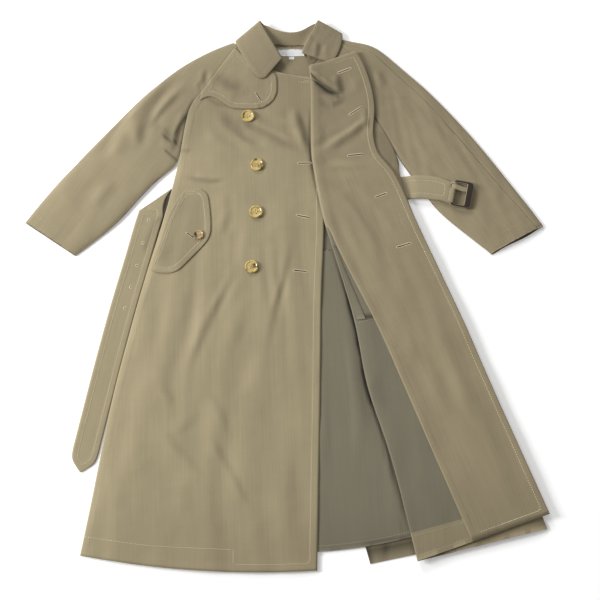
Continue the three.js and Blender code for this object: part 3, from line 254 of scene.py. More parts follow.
WARP = (420, 9, 60)  # how finely the noise varies across, along and through the threads
WEFT = (26, 1100, 60)
SHADOW = 0.09  # light left where a fold is darkest


@dataclass(frozen=True)
class Gabardine:
    """Twill cloth of fine cotton, with slubs, worn paler edges, and folds painted paler on their
    ridges as wear and darker in their troughs as painted shade.
    """

    name: str
    colour: Colour
    grain: float = 0.0
    contrast: float = 0.11
    sheen: float = 0.12
    edge_light: float = 0.35

    def make(self) -> bpy.types.Material:
        """Build the material.

        Returns:
            The new material.
        """
        g = Graph(self.name)
        warp = g.noise(g.turned(self.grain, WARP), detail=3.0)
        weft = g.noise(g.turned(self.grain, WEFT))
        cloud = g.noise(g.turned(self.grain + 20), 9.0, 3.0)
        tone = 0.5 + (warp - 0.5) * 1.1 + (weft - 0.5) * 0.4 + (cloud - 0.5) * 0.9
        # relief: ridges paler as wear, troughs darker as painted shade; edge: worn rims paler
        tone = tone + g.value("relief") * 0.35 + g.value("edge") * self.edge_light
        low, high = linear(self.colour, 1 - self.contrast), linear(self.colour, 1 + self.contrast)
        cloth = g.blend(tone, low, high)
        rib = g.waves(self.grain + 63, 330.0, 1.2)
        pick = g.waves(self.grain, 520.0, 0.8, "Y")
        height = rib * 0.6 + pick * 0.4 + warp * 0.5 + weft * 0.4
        return g.finish(
            {
                "Base Color": g.blend(g.value("shade"), cloth, linear(self.colour, SHADOW)),
                "Roughness": 0.8 + (cloud - 0.5) * 0.12,
                "Normal": g.bump(height, 0.45, 0.00025),
                "Sheen Weight": self.sheen,
                "Sheen Roughness": 0.5,
                "Specular IOR Level": 0.25,
            }
        )


@dataclass(frozen=True)
class Thread:
    """Twisted sewing thread; also the dark colour of painted shadow in slits, holes and beside the
    belt's tail.
    """

    name: str
    colour: Colour

    def make(self) -> bpy.types.Material:
        """Build the material.

        Returns:
            The new material.
        """
        g = Graph(self.name)
        fleck = g.noise(g.turned(), 900.0)
        colour = g.blend(fleck, linear(self.colour, 0.86), linear(self.colour, 1.12))
        bump = g.bump(g.waves(30, 900.0), 0.4, 0.0001)
        return g.finish({"Base Color": colour, "Roughness": 0.55 + fleck * 0.1, "Normal": bump})


@dataclass(frozen=True)
class Horn:
    """Polished horn with mottles and drawn-out streaks."""

    name: str
    pale: Colour
    mid: Colour
    dark: Colour
    turn: float
    shade: float

    def make(self) -> bpy.types.Material:
        """Build the material.

        Returns:
            The new material.
        """
        g = Graph(self.name)
        streak = g.noise(g.turned(self.turn, (60, 190, 120)), detail=3.0)
        blot = g.noise(g.turned(self.turn + 50), 95.0)
        tone = (streak - 0.5) * 0.9 + (blot - 0.5) * 2.4 + (0.56 + self.shade)
        stops = [(0.24, linear(self.dark)), (0.42, linear(self.mid)), (0.78, linear(self.pale))]
        colour = g.node("ShaderNodeValToRGB", {"stops": stops}, {"Fac": tone}, "Color")
        return g.finish(
            {
                "Base Color": colour,
                "Roughness": 0.22 + blot * 0.14,
                "Normal": g.bump(streak, 0.15, 0.0002),
                "Coat Weight": 0.35,
            }
        )


@dataclass(frozen=True)
class Resin:
    """Dark moulded resin with a painted highlight, paler on its bevels that face upwards."""

    name: str
    colour: Colour
    painted_highlight: Colour

    def make(self) -> bpy.types.Material:
        """Build the material.

        Returns:
            The new material.
        """
        g = Graph(self.name)
        cloud = g.noise(g.turned(), 160.0, 3.0)
        body = g.blend(cloud, linear(self.colour, 0.8), linear(self.colour, 1.35))
        # painted highlight on the bevels that the edge value marks
        colour = g.blend(g.value("edge"), body, linear(self.painted_highlight))
        bump = g.bump(cloud, 0.12, 0.0002)
        return g.finish({"Base Color": colour, "Roughness": 0.24 + cloud * 0.16, "Normal": bump})


@dataclass(frozen=True)
class Ground:
    """Pale matt studio floor."""

    def make(self) -> bpy.types.Material:
        """Build the material.

        Returns:
            The new material.
        """
        g = Graph("studio_floor")
        cloud = g.noise(g.turned(), 3.0)
        return g.finish(
            {
                "Base Color": g.blend(cloud, (0.93, 0.93, 0.93, 1), (0.95, 0.95, 0.95, 1)),
                "Roughness": 0.9,
                "Emission Color": (1, 1, 1, 1),
                "Emission Strength": 0.16,
            }
        )


class Finish(Enum):
    """The coat's finishes."""

    # The khaki finishes are one gabardine with its grain turned per piece; the darker copies (left
    # sleeve, collar, facing, back) are partly painted shade, darker where less light falls.
    FRONT = Gabardine("khaki_front", (152, 140, 111), -2)
    SLEEVE_RIGHT = Gabardine("khaki_sleeve_right", (148, 136, 108), 34)
    SLEEVE_LEFT = Gabardine("khaki_sleeve_left", (144, 132, 105), -34)
    COLLAR = Gabardine("khaki_collar", (142, 130, 104), 30)
    FACING = Gabardine("khaki_facing", (143, 131, 104), -20)
    BACK = Gabardine("khaki_back", (143, 131, 104), 0)
    INSIDE = Gabardine("gray_inside", (118, 112, 94), -3, 0.08, 0.06, 0.2)
    BELT = Gabardine("khaki_belt", (151, 139, 111), 12)
    LABEL = Gabardine("white_label", (226, 226, 226), 0, 0.05, 0.1, 0.1)
    STITCH = Thread("cream_thread", (226, 216, 184))
    LOCKSTITCH = Thread("khaki_thread", (184, 171, 138))
    GRAY_STITCH = Thread("gray_thread", (182, 172, 142))
    # SLIT and SHADE are painted shadow: in buttonhole slits and eyelet holes, and on the belt
    # beside its tail.
    SLIT = Thread("slit_shadow", (58, 50, 38))
    SHADE = Thread("deep_shade", (34, 30, 24))
    HORN = Horn("horn", (198, 176, 110), (166, 140, 74), (74, 50, 26), 35, 0.02)
    HORN_DARK = Horn("horn_dark", (178, 152, 108), (120, 96, 62), (48, 36, 24), 60, -0.02)
    # the buckle's cream second colour is a painted highlight on its upward bevels
    RESIN = Resin("buckle_resin", (40, 29, 22), (190, 176, 146))
    TONGUE = Gabardine("tongue_cover", (164, 152, 124), -12)
    FLOOR = Ground()


@cache
def material(finish: Finish) -> bpy.types.Material:
    """A finish's material, made once."""
    return finish.value.make()


# Mesh helpers


def only(obj: Object) -> None:
    """Select one object alone and make it active.

    Args:
        obj: The object.
    """
    bpy.ops.object.select_all(action="DESELECT")
    obj.select_set(True)
    bpy.context.view_layer.objects.active = obj


def apply_modifiers(obj: Object) -> None:
    """Apply every modifier of an object.

    Args:
        obj: The object.
    """
    only(obj)
    for modifier in list(obj.modifiers):
        bpy.ops.object.modifier_apply(modifier=modifier.name)


def round_edges(obj: Object, width: float, angle: float) -> None:
    """Round the edges that turn by more than an angle in degrees, by a width in metres.

    Args:
        obj: The object.
        width: Width of the rounding, in metres.
        angle: Least turn, in degrees.
    """
    rounding = obj.modifiers.new("round", "BEVEL")
    rounding.width, rounding.segments = width, 3
    rounding.limit_method, rounding.angle_limit = "ANGLE", math.radians(angle)
    apply_modifiers(obj)


def shade_smooth(obj: Object, angle: float) -> None:
    """Shade an object smooth but for edges that turn by more than an angle in degrees."""
    only(obj)
    bpy.ops.object.shade_smooth_by_angle(angle=math.radians(angle))


def link(data: bpy.types.ID, name: str) -> Object:
    """Put a mesh, lamp or camera into the scene as an object.

    Args:
        data: The mesh, lamp or camera.
        name: The object's name.

    Returns:
        The new object.
    """
    obj = bpy.data.objects.new(name, data)
    bpy.context.scene.collection.objects.link(obj)
    return obj


def from_bmesh(bm: bmesh.types.BMesh, name: str) -> Object:
    """Turn a bmesh into an object at the origin.

    Args:
        bm: The bmesh, which is freed.
        name: The object's name.

    Returns:
        The new object.
    """
    mesh = bpy.data.meshes.new(name)
    bm.to_mesh(mesh)
    bm.free()
    return link(mesh, name)


def read(
    items: bpy.types.bpy_prop_collection, name: str, width: int = 3, kind: type = float
) -> Array:
    """One property of every item of a mesh.

    Args:
        items: The mesh's points, edges, faces or attribute values.
        name: The property.
        width: How many numbers each item has.
        kind: Their type.

    Returns:
        A row for each item.
    """
    flat = np.empty(len(items) * width, kind)
    items.foreach_get(name, flat)
    return flat.reshape(-1, width)


def coordinates(obj: Object) -> Array:
    """A mesh's points in millimetres on the pattern plan.

    Args:
        obj: The mesh object.

    Returns:
        One row of three for each point.
    """
    points = read(obj.data.vertices, "co") / MM
    points[:, :2] -= PLAN_SHIFT
    return points


def put_back(obj: Object, points: Array) -> None:
    """Write plan points back into a mesh.

    Args:
        obj: The mesh object.
        points: Its new points, in plan millimetres.
    """
    out = points.copy()
    out[:, :2] += PLAN_SHIFT
    obj.data.vertices.foreach_set("co", (out * MM).ravel())
    obj.data.update()


def keep_value(obj: Object, name: str, values: Array) -> None:
    """Store one number a point for a material to read."""
    attribute = obj.data.attributes.new(name, "FLOAT", "POINT")
    attribute.data.foreach_set("value", values.astype(np.float32))


def dress(obj: Object, finish: Finish) -> None:
    """Give a whole object one finish."""
    obj.data.materials.clear()
    obj.data.materials.append(material(finish))


def hand_over(obj: Object, node: str = "") -> None:
    """Let a piece ride on the coat, and stand for its solid if it has one.

    Args:
        obj: The piece.
        node: The solid it stands for, if any.
    """
    if node:
        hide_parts(node)
    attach(obj, "root")


def straight_on(vertex: bmesh.types.BMVert, edge: bmesh.types.BMEdge) -> list[bmesh.types.BMEdge]:
    """The edges round a vertex in order, from one edge.

    Args:
        vertex: The vertex.
        edge: The edge to start from.

    Returns:
        The edges in order.
    """
    ring, face = [edge], edge.link_faces[0]
    while True:
        step = [e for e in face.edges if vertex in e.verts and e is not ring[-1]][0]
        if step is edge or len(ring) > 12:
            return ring
        ring.append(step)
        face = [f for f in step.link_faces if f is not face][0]


def find_diagonals(
    bm: bmesh.types.BMesh, borders: set[bmesh.types.BMEdge]
) -> list[bmesh.types.BMEdge]:
    """The edges that cut a woven grid's cells in two.

    Args:
        bm: A mesh of triangles.
        borders: Edges where the surface turns sharply.

    Returns:
        The diagonals.
    """
    state = {e: False for e in borders}
    queue = list(borders)
    on_border = {v for e in borders for v in e.verts}

    def settle(edge: bmesh.types.BMEdge, value: bool) -> None:
        """Set an edge once and look at its neighbours later.

        Args:
            edge: The edge.
            value: What it is set to.
        """
        if edge not in state:
            state[edge] = value
            queue.append(edge)

    def spread() -> None:
        """Follow what is known as far as it reaches."""
        while queue:
            edge = queue.pop()
            for face in edge.link_faces:
                known = [state[e] for e in face.edges if e in state]
                for e in face.edges:
                    if True in known:
                        settle(e, False)
                    elif len(known) == 2:
                        settle(e, True)
            if not state[edge]:
                continue
            for vertex in edge.verts:
                if vertex in on_border or len(vertex.link_edges) != 6:
                    continue
                for place, e in enumerate(straight_on(vertex, edge)):
                    settle(e, place == 3)

    spread()
    for face in sorted(bm.faces, key=lambda f: -max(e.calc_length() for e in f.edges)):
        open_edges = [e for e in face.edges if e not in state]
        if open_edges:
            settle(max(open_edges, key=lambda e: e.calc_length()), True)
            spread()
    return [e for e, value in state.items() if value]


SHARP = math.radians(62)  # a cut edge turns by more than this
WELD = 2e-5  # metres between points that are one


def cloth_copy(node: str, levels: int) -> Object:
    """A smooth, fine copy of a cloth solid.

    Args:
        node: The solid's name.
        levels: How often its cells are halved.

    Returns:
        The new object.
    """
    bm = bmesh.new()
    bm.from_mesh(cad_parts[node].data)
    bmesh.ops.remove_doubles(bm, verts=bm.verts[:], dist=WELD)
    crease = bm.edges.layers.float.new("crease_edge")
    borders = {e for e in bm.edges if e.calc_face_angle(0.0) > SHARP}
    for edge in borders:
        edge[crease] = 1.0
    bmesh.ops.dissolve_edges(bm, edges=find_diagonals(bm, borders), use_verts=False)
    obj = from_bmesh(bm, node + "_cloth")
    finer = obj.modifiers.new("finer", "SUBSURF")
    finer.levels = finer.render_levels = levels
    apply_modifiers(obj)
    return obj


def rim_distance(obj: Object) -> Array:
    """How far each point of a fine cloth copy is from the piece's cut edges, in millimetres.

    Args:
        obj: The fine cloth copy.

    Returns:
        One distance for each point.
    """
    mesh = obj.data
    marks = read(mesh.attributes["crease_edge"].data, "value", 1, np.float32)[:, 0]
    rim = np.unique(read(mesh.edges, "vertices", 2, np.int64)[marks > 0.5])
    tree = KDTree(len(rim))
    for i in rim:
        tree.insert(mesh.vertices[int(i)].co, int(i))
    tree.balance()
    return np.array([tree.find(v.co)[2] for v in mesh.vertices]) / MM


# Folds and creases


LIGHT_FROM = (-0.85, 0.52)  # plan direction of the light that shows the folds


def follow(points: Sequence[Point], x: Array, y: Array) -> tuple[Array, Array, Array, float]:
    """Where some plan points lie beside a line of a few straight parts.

    Args:
        points: The line's own points, in millimetres.
        x: X of the plan points.
        y: Y of the plan points.

    Returns:
        How far they are from the line, how far along it, how far to its left, and its length.
    """
    near, along, aside = np.full_like(x, 1e9), np.zeros_like(x), np.zeros_like(x)
    before = 0.0
    for a, b in zip(points, points[1:]):
        length = math.dist(a, b)
        dx, dy = (b[0] - a[0]) / length, (b[1] - a[1]) / length
        clipped = np.clip((x - a[0]) * dx + (y - a[1]) * dy, 0, length)
        off = np.hypot(x - a[0] - clipped * dx, y - a[1] - clipped * dy)
        closer = off < near
        near = np.where(closer, off, near)
        along = np.where(closer, before + clipped, along)
        aside = np.where(closer, (y - a[1]) * dx - (x - a[0]) * dy, aside)
        before += length
    return near, along, aside, before


@dataclass(frozen=True)
class Crease:
    """A soft step in the cloth along a few plan points, in millimetres.

    The cloth falls away from the light across it where the height is under 0, which shades it,
    and rises against the light where the height is over 0.
    """

    points: tuple[Point, ...]
    height: float
    width: float
    fade: float

    def lift(self, x: Array, y: Array) -> Array:
        """How far the crease moves the cloth at some plan points, in millimetres.

        Args:
            x: Across the plan, in millimetres.
            y: Down the plan, in millimetres.

        Returns:
            One lift for each point.
        """
        near, along, aside, total = follow(self.points, x, y)
        start, end = self.points[0], self.points[-1]
        turn = LIGHT_FROM[1] * (end[0] - start[0]) - LIGHT_FROM[0] * (end[1] - start[1])
        reach = max(1.0, total * self.fade)
        ends = smooth(along / reach) * smooth((total - along) / reach)
        uneven = 1 + 0.12 * np.sin(along / 21.0 + start[0]) + 0.06 * np.sin(along / 9.0)
        width = self.width * (1 + 0.15 * np.sin(along / 24.0))
        step = aside * math.copysign(1, turn) / width * np.exp(0.5 - (near / width) ** 2 / 2)
        return -0.5 * self.height * uneven * ends * step


@dataclass(frozen=True)
class Shade:
    """A place along a few plan points where a deep fold keeps the light off the cloth."""

    points: tuple[Point, ...]
    width: float
    depth: float

    def dim(self, x: Array, y: Array) -> Array:
        """How dark some plan points are, from 0 to 1 where the cloth is nearly black.

        Args:
            x: Across the plan, in millimetres.
            y: Down the plan, in millimetres.

        Returns:
            One value for each point.
        """
        near, along, _, total = follow(self.points, x, y)
        reach = total * 0.18
        ends = 0.25 + 0.75 * smooth(along / reach) * smooth((total - along) / reach)
        return self.depth * ends * np.exp(-((near / self.width) ** 2))


def creases(*rows: tuple, fade: float = 0.3) -> tuple[Crease, ...]:
    """Creases from rows of a height, a width and the plan points, which fade out at the ends."""
    return tuple(Crease(tuple(points), height, width, fade) for height, width, *points in rows)


def shades(*rows: tuple) -> tuple[Shade, ...]:
    """Shades from rows of a width, a depth and the plan points."""
    return tuple(Shade(tuple(points), width, depth) for width, depth, *points in rows)


def drift(x: Array, y: Array, length: float, turn: float) -> Array:
    """Uneven waves between about -1 and 1.

    Args:
        x: X of the points.
        y: Y of the points.
        length: Typical wave length in millimetres.
        turn: Degrees by which the pattern is turned.

    Returns:
        One value a point.
    """
    total = np.zeros_like(x)
    for k in range(5):
        angle = math.radians(turn + 41 * k + 7 * k * k)
        wave = 2 * math.pi / (length * (0.7 + 0.17 * k))
        bend = 0.8 * np.sin((x * math.sin(angle) - y * math.cos(angle)) * wave * 0.47 + k)
        total += np.sin((x * math.cos(angle) + y * math.sin(angle)) * wave + bend + 1.7 * k)
    return total / 3.2


@dataclass(frozen=True)
class Drape:
    """Long soft folds that fan out from a point above the piece, in millimetres."""

    centre: Point
    pitch: float
    height: float
    begin: float
    reach: float

    def lift(self, x: Array, y: Array) -> Array:
        """How far the folds move the cloth at some plan points.

        Args:
            x: Across the plan, in millimetres.
            y: Down the plan, in millimetres.

        Returns:
            One lift for each point.
        """
        down = np.maximum(self.centre[1] - y, 50.0)
        fan = (x - self.centre[0]) / down
        turns = 2 * math.pi * (self.centre[1] + 300) / self.pitch
        bend = 0.9 * np.sin(y / 97.0 + fan * 9) + 0.5 * np.sin(y / 41.0)
        patchy = 0.65 + 0.35 * np.sin(fan * 31 + y / 140.0)
        waves = np.sin(fan * turns + bend) + 0.6 * np.sin(fan * turns * 0.43 + 1.3 + bend * 0.6)
        return self.height * waves * patchy * smooth((self.begin - y) / self.reach)


@dataclass(frozen=True)
class Folds:
    """What shapes the cloth of one region.

    The lift starts where the cloth's underside is start millimetres up, and is whole reach higher.
    Waves is the share of the small uneven waves.
    """

    start: float
    reach: float
    creases: tuple[Crease, ...] = ()
    drapes: tuple[Drape, ...] = ()
    waves: float = 1.0

    def lift(self, x: Array, y: Array) -> Array:
        """How far the folds move the cloth at some plan points, in millimetres.

        Args:
            x: Across the plan, in millimetres.
            y: Down the plan, in millimetres.

        Returns:
            One lift for each point.
        """
        total = np.zeros_like(x)
        for fold in self.creases + self.drapes:
            total += fold.lift(x, y)
        return total + self.waves * (0.6 * drift(x, y, 120, 15) + 0.2 * drift(x, y, 42, 70))


class Region(Enum):
    """Which folds a piece shares with its neighbours."""

    RIGHT = Folds(
        2.2, 3.6,
        creases(
            (-5.2, 9, (-150, 386), (-120, 350), (-86, 322), (-40, 304)),
            (-5.4, 8, (-112, 384), (-60, 352), (0, 322), (44, 300)),
            (-3.4, 8, (-60, 388), (-10, 366), (30, 346)),
            (-3.0, 10, (-168, 360), (-130, 318), (-80, 286)),
            (-4.0, 8, (22, 400), (36, 350), (54, 292)), (2.0, 9, (8, 410), (18, 360), (34, 312)),
            (-3.6, 6, (-271, 357), (-230, 310)), (-2.6, 5, (-268, 326), (-236, 298)),
            (2.6, 7, (-282, 380), (-234, 327)), (-3.4, 6, (-214, 399), (-233, 345), (-242, 300)),
            (-4.6, 11, (-290, 410), (-314, 356), (-318, 300)),
            (4.2, 17, (-330, 416), (-366, 340), (-392, 262)),
            (-4.0, 14, (-250, 470), (-300, 420), (-345, 350)),
            (3.2, 10, (-216, 478), (-262, 430), (-296, 372)),
            (-3.4, 8, (-226, 446), (-268, 400), (-296, 352)), (2.0, 12, (-394, 226), (-438, 150)),
            (-2.0, 11, (-360, 232), (-405, 160)), (-1.4, 13, (-430, 250), (-480, 190)),
            (-2.4, 11, (-141, 466), (-100, 432)), (1.6, 12, (-110, 480), (-60, 440)),
            (-2.2, 5, (-178, 502), (-182, 456)), (1.6, 5, (-168, 494), (-170, 448)),
            (-1.4, 4, (-192, 470), (-188, 440)), (-1.6, 4, (-62, 405), (-42, 392)),
            (-1.6, 5, (-230, 303), (-204, 298)), (-2.4, 5, (-200, 236), (-166, 226), (-127, 228)),
            (-2.5, 8, (-98, 62), (-110, 6), (-142, -62), (-176, -140), (-196, -210)),
            (1.8, 12, (-90, 169), (-95, 83), (-108, 0), (-142, -72)),
            (-2.0, 9, (-128, 205), (-120, 150), (-134, 90)),
            (-2.4, 7, (14, 96), (0, 6), (-20, -70), (-34, -160)), (1.8, 9, (-36, 97), (-26, -52)),
            (1.4, 12, (-30, 200), (-28, 90)), (2.2, 13, (-172, -3), (-195, -188)),
            (-1.8, 12, (-78, -40), (-100, -160)),
            (1.9, 15, (-236, -20), (-252, -120), (-282, -250)),
            (-1.7, 12, (-262, -190), (-230, -250), (-224, -330)),
            (1.5, 16, (-140, -230), (-160, -300), (-170, -420)),
            (1.8, 14, (-60, -150), (-84, -260)), (-1.6, 20, (-205, -60), (-258, -330)),
            (2.0, 22, (-282, -109), (-330, -475)), (-1.8, 20, (-69, -255), (-80, -535)),
            (1.5, 15, (-350, -300), (-374, -515)), (1.4, 20, (-205, -350), (-222, -590)),
            (-1.4, 14, (20, -300), (14, -560)), (-1.4, 12, (-240, 120), (-262, 40), (-300, -90)),
            (-1.2, 6, (-253, -231), (-238, -250), (-221, -273)),
            (-1.0, 8, (-152, -248), (-127, -290), (-111, -337)),
            (-1.5, 7, (-150, -337), (-125, -379), (-100, -424), (-67, -485)),
            (-1.4, 8, (-242, -328), (-219, -362), (-189, -391), (-169, -412)),
            (-0.8, 8, (-211, -337), (-191, -312), (-167, -290)),
        ),
        (Drape((0, 1150), 78, 0.85, 330, 420), Drape((-60, 900), 41, 0.28, 200, 300)),
    )
    LEFT = Folds(
        2.6, 3.0,
        creases(
            (-2.2, 7, (208, 494), (226, 452)), (1.4, 8, (188, 500), (204, 448)),
            (-1.2, 4, (212, 432), (268, 424)), (1.0, 6, (206, 404), (262, 408)),
            (-1.8, 9, (252, 436), (286, 372)), (-1.9, 8, (300, 270), (342, 208)),
            (1.7, 13, (240, 392), (300, 290), (352, 176)),
            (-1.7, 11, (224, 330), (262, 280), (308, 196)),
            (-1.3, 12, (300, 400), (372, 300), (440, 204)), (1.2, 14, (262, 470), (330, 380)),
            (1.2, 10, (470, 210), (512, 150)), (-1.2, 8, (420, 180), (440, 110)),
            (-1.0, 7, (456, 236), (470, 180)), (-2.2, 5, (200, 352), (216, 320)),
            (-1.6, 5, (214, 300), (238, 270)),
        ),
        (Drape((160, 900), 52, 0.3, 520, 200),),
    )
    OPENED = Folds(
        8.7, 1.0,
        creases(
            (-6.0, 4.0, (56, 494), (63, 473), (84, 453), (110, 434), (124, 430)),
            (4.0, 3.4, (54, 500), (66, 480), (88, 460), (114, 441), (130, 436)),
            fade=0.12,
        )
        + creases(
            (-4.0, 7, (116, 486), (122, 456), (124, 432)), (1.8, 9, (146, 480), (150, 432)),
            (-3.2, 6, (76, 428), (104, 408), (136, 420)), (1.6, 6, (84, 446), (106, 432)),
            (3.0, 7, (62, 286), (96, 316), (140, 346), (186, 384)),
            (-4.0, 9, (96, 300), (150, 338), (190, 374)),
            (2.0, 8, (64, 262), (120, 268), (184, 270)),
            (-2.2, 9, (62, 276), (110, 262), (178, 246)), (-1.8, 9, (76, 236), (142, 210)),
            (-1.6, 8, (80, 360), (84, 310)), (-1.6, 9, (96, 232), (160, 150), (214, 44)),
            (1.5, 11, (116, 250), (190, 160), (250, 60)),
            (1.2, 9, (96, 186), (150, 60), (190, -40)),
            (-1.8, 13, (233, -18), (262, -110), (282, -222)),
            (1.9, 17, (304, -105), (344, -220), (378, -350)), (1.2, 14, (262, -150), (330, -330)),
            (-1.4, 16, (350, -250), (420, -430)), (2.4, 6, (176, -222), (186, -278)),
            (-1.6, 9, (196, -200), (216, -300)), (-1.8, 5, (176, 404), (184, 340)),
        ),
        (Drape((60, 760), 62, 0.55, 320, 500),),
    )
    BENEATH = Folds(
        -1.0, 1.0,
        creases(
            (2.0, 16, (124, -105), (132, -250), (136, -410)), (-1.4, 16, (96, -180), (92, -430)),
            (1.6, 7, (176, -222), (188, -300)), (1.2, 18, (60, -260), (56, -520)),
        ),
        (Drape((60, 800), 66, 0.5, 60, 300),),
        waves=0.25,
    )
    COLLAR = Folds(
        7.0, 6.0,
        creases(
            (-2.0, 5, (76, 566), (68, 516)), (1.0, 5, (88, 560), (84, 520)),
            (0.8, 12, (-70, 560), (-40, 500)), (-1.2, 5, (54, 590), (60, 560)),
        ),
        waves=0.35,
    )
    STILL = Folds(-1.0, 1.0, waves=0.12)


RIDGE = 3.0  # millimetres of lift at which a ridge is painted palest as wear and a trough darkest as painted shade
RIM_WEAR = 2.4  # millimetres over which a rim's wear fades
CLOTH_ANGLE, HORN_ANGLE, MOULDED_ANGLE = 50, 40, 30  # degrees that still shade smooth
ROOM_SHADES = shades(
    (125.0, 0.2, (-360, 380), (-240, 420), (-60, 440), (160, 440), (300, 400)),
    (110.0, 0.13, (-430, -560), (-200, -590), (30, -600), (300, -580), (540, -520)),
)


@dataclass(frozen=True)
class Cloth:
    """One cloth piece: its solid, finish, folds and cut."""

    node: str
    finish: Finish
    region: Region
    flat: tuple[float, float]
    area: float | None = None
    levels: int = 3
    slot: str = "coat_cloth"
    hemmed: float = 0.0
    floor: float = 0.0
    rests: tuple[str, ...] = ()
    held: str = "laid"
    shape: Callable[[Array], Array] | None = None
    shades: tuple[Shade, ...] = ()
    lined: tuple[Finish, Where] | None = None

    def build(self) -> Object:
        """Make the piece and dress it.

        Returns:
            The finished object.
        """
        obj = cloth_copy(self.node, self.levels)
        rim = rim_distance(obj)
        points, facing = coordinates(obj), read(obj.data.vertices, "normal")
        under = points[:, 2] - WALL * np.clip((facing[:, 2] + 1) / 2, 0, 1)
        folds = self.region.value
        x, y = points[:, 0], points[:, 1]
        lift = folds.lift(x, y) * smooth((under - folds.start) / folds.reach)
        if self.region in (Region.BENEATH, Region.STILL):
            lift = np.maximum(lift, 0) * smooth(points[:, 2] - self.floor)
        lift = np.maximum(lift, np.minimum(under, self.floor) - under)
        lift = lift + smooth((facing[:, 2] - 0.2) / 0.5) * self.edge_shape(x, y, rim)
        if self.shape is not None:
            points += self.shape(points)
        points[:, 2] += lift
        put_back(obj, points)
        dim = sum((shade.dim(x, y) for shade in ROOM_SHADES + self.shades), np.zeros_like(x))
        # relief paints ridges paler as wear and troughs darker as painted shade
        keep_value(obj, "relief", np.clip(lift / RIDGE, -1, 1))
        keep_value(obj, "edge", np.exp(-rim / RIM_WEAR))
        keep_value(obj, "rim", rim)
        keep_value(obj, "shade", np.clip(dim, 0, 1))
        dress(obj, self.finish)
        shade_smooth(obj, CLOTH_ANGLE)
        if self.lined is not None:
            self.line(obj, *self.lined)
        LOG.info("%s: %d faces", self.node, len(obj.data.polygons))
        return obj

    def edge_shape(self, x: Array, y: Array, rim: Array) -> Array:
        """Rounded rims, and the raised, slightly puckered band of a stitched edge.

        Args:
            x: X of plan points in millimetres.
            y: Y of plan points in millimetres.
            rim: Distance to the rim in millimetres.

        Returns:
            Heights in millimetres.
        """
        shape = -0.45 * np.exp(-((rim / 1.8) ** 2))
        if self.hemmed:
            band = 1 - smooth((rim - self.hemmed + 1.5) / 3.0)
            pucker = drift(x, y, 17, 33) * np.exp(-(((rim - self.hemmed) / 6.0) ** 2))
            shape = shape + 0.38 * band + 0.22 * pucker
        return shape

    @staticmethod
    def line(obj: Object, finish: Finish, where: Where) -> None:
        """Give part of a piece a second finish.

        Args:
            obj: The piece.
            finish: The second finish.
            where: Says which faces take it, from their plan place, height and upward normal.
        """
        faces = obj.data.polygons
        x, y, z = read(faces, "center").T / MM
        picked = where(x - PLAN_SHIFT[0], y - PLAN_SHIFT[1], z, read(faces, "normal")[:, 2])
        obj.data.materials.append(material(finish))
        faces.foreach_set("material_index", picked.astype(np.int32))
        obj.data.update()

    def declare(self, obj: Object, with_pieces: Sequence[Object]) -> None:
        """Let the finished piece ride on the coat in place of its solid.

        Args:
            obj: The finished piece.
            with_pieces: Not used.
        """
        hand_over(obj, self.node)


# Sewing


def walk(points: Sequence[Sequence[float]], step: float) -> list[tuple[Point, Point]]:
    """Even steps along a smooth line through plan points.

    Args:
        points: The line's points in millimetres.
        step: Distance between steps.

    Returns:
        A place and a direction for each step.
    """
    p = [Vector(q[:2]) for q in points]
    ends = [p[0] * 2 - p[1]] + p + [p[-1] * 2 - p[-2]]
    dense: list[Vector] = []
    for a, b, c, d in zip(ends, ends[1:], ends[2:], ends[3:]):
        count = max(2, int((c - b).length / 3))
        for i in range(count):
            t = i / count
            square, cube = a * 2 - b * 5 + c * 4 - d, b * 3 - a - c * 3 + d
            dense.append((b * 2 + (c - a) * t + square * t * t + cube * t**3) / 2)
    dense.append(p[-1])
    steps, left = [], step / 2
    for a, b in zip(dense, dense[1:]):
        length = (b - a).length
        if length < 1e-6:
            continue
        way = (b - a) / length
        while left <= length:
            steps.append((tuple(a + way * left), tuple(way)))
            left += step
        left -= length
    return steps


def inset_rows(obj: Object, inset: float, keep: Keep) -> list[list[Point]]:
    """Lines on a piece's upper side, a set way in from its rim.

    Args:
        obj: The finished cloth.
        inset: How far in the lines run.
        keep: Says which plan points belong to the line.

    Returns:
        The lines' plan points, in millimetres.
    """
    points = coordinates(obj)
    rim = read(obj.data.attributes["rim"].data, "value", 1, np.float32)[:, 0]
    cuts: dict[tuple[int, int], Point] = {}
    links: dict[tuple[int, int], list[tuple[int, int]]] = {}
    for face in obj.data.polygons:
        if face.normal.z < 0.35:
            continue
        ring = [key for key in face.edge_keys if (rim[key[0]] < inset) != (rim[key[1]] < inset)]
        if len(ring) != 2:
            continue
        for key in ring:
            a, b = key
            t = (inset - rim[a]) / (rim[b] - rim[a])
            spot = points[a] + (points[b] - points[a]) * t
            cuts[key] = (float(spot[0]), float(spot[1]))
        if keep(*cuts[ring[0]]) and keep(*cuts[ring[1]]):
            links.setdefault(ring[0], []).append(ring[1])
            links.setdefault(ring[1], []).append(ring[0])
    rows, seen = [], set()
    for start in sorted(links, key=lambda k: (len(links[k]), k)):
        row, here = [], None if start in seen else start
        while here is not None:
            seen.add(here)
            row.append(cuts[here])
            here = next((k for k in links[here] if k not in seen), None)
        if len(row) > 8:
            thin = row[::3] + row[-1:]
            rows.append(thin[:1] + [q for p, q in zip(thin, thin[1:]) if math.dist(p, q) > 1.5])
    return [row for row in rows if len(row) > 2]


SKY = 80  # millimetres from which the cloth is felt for
STEEPEST = 0.25  # least upward normal that a row is sewn on


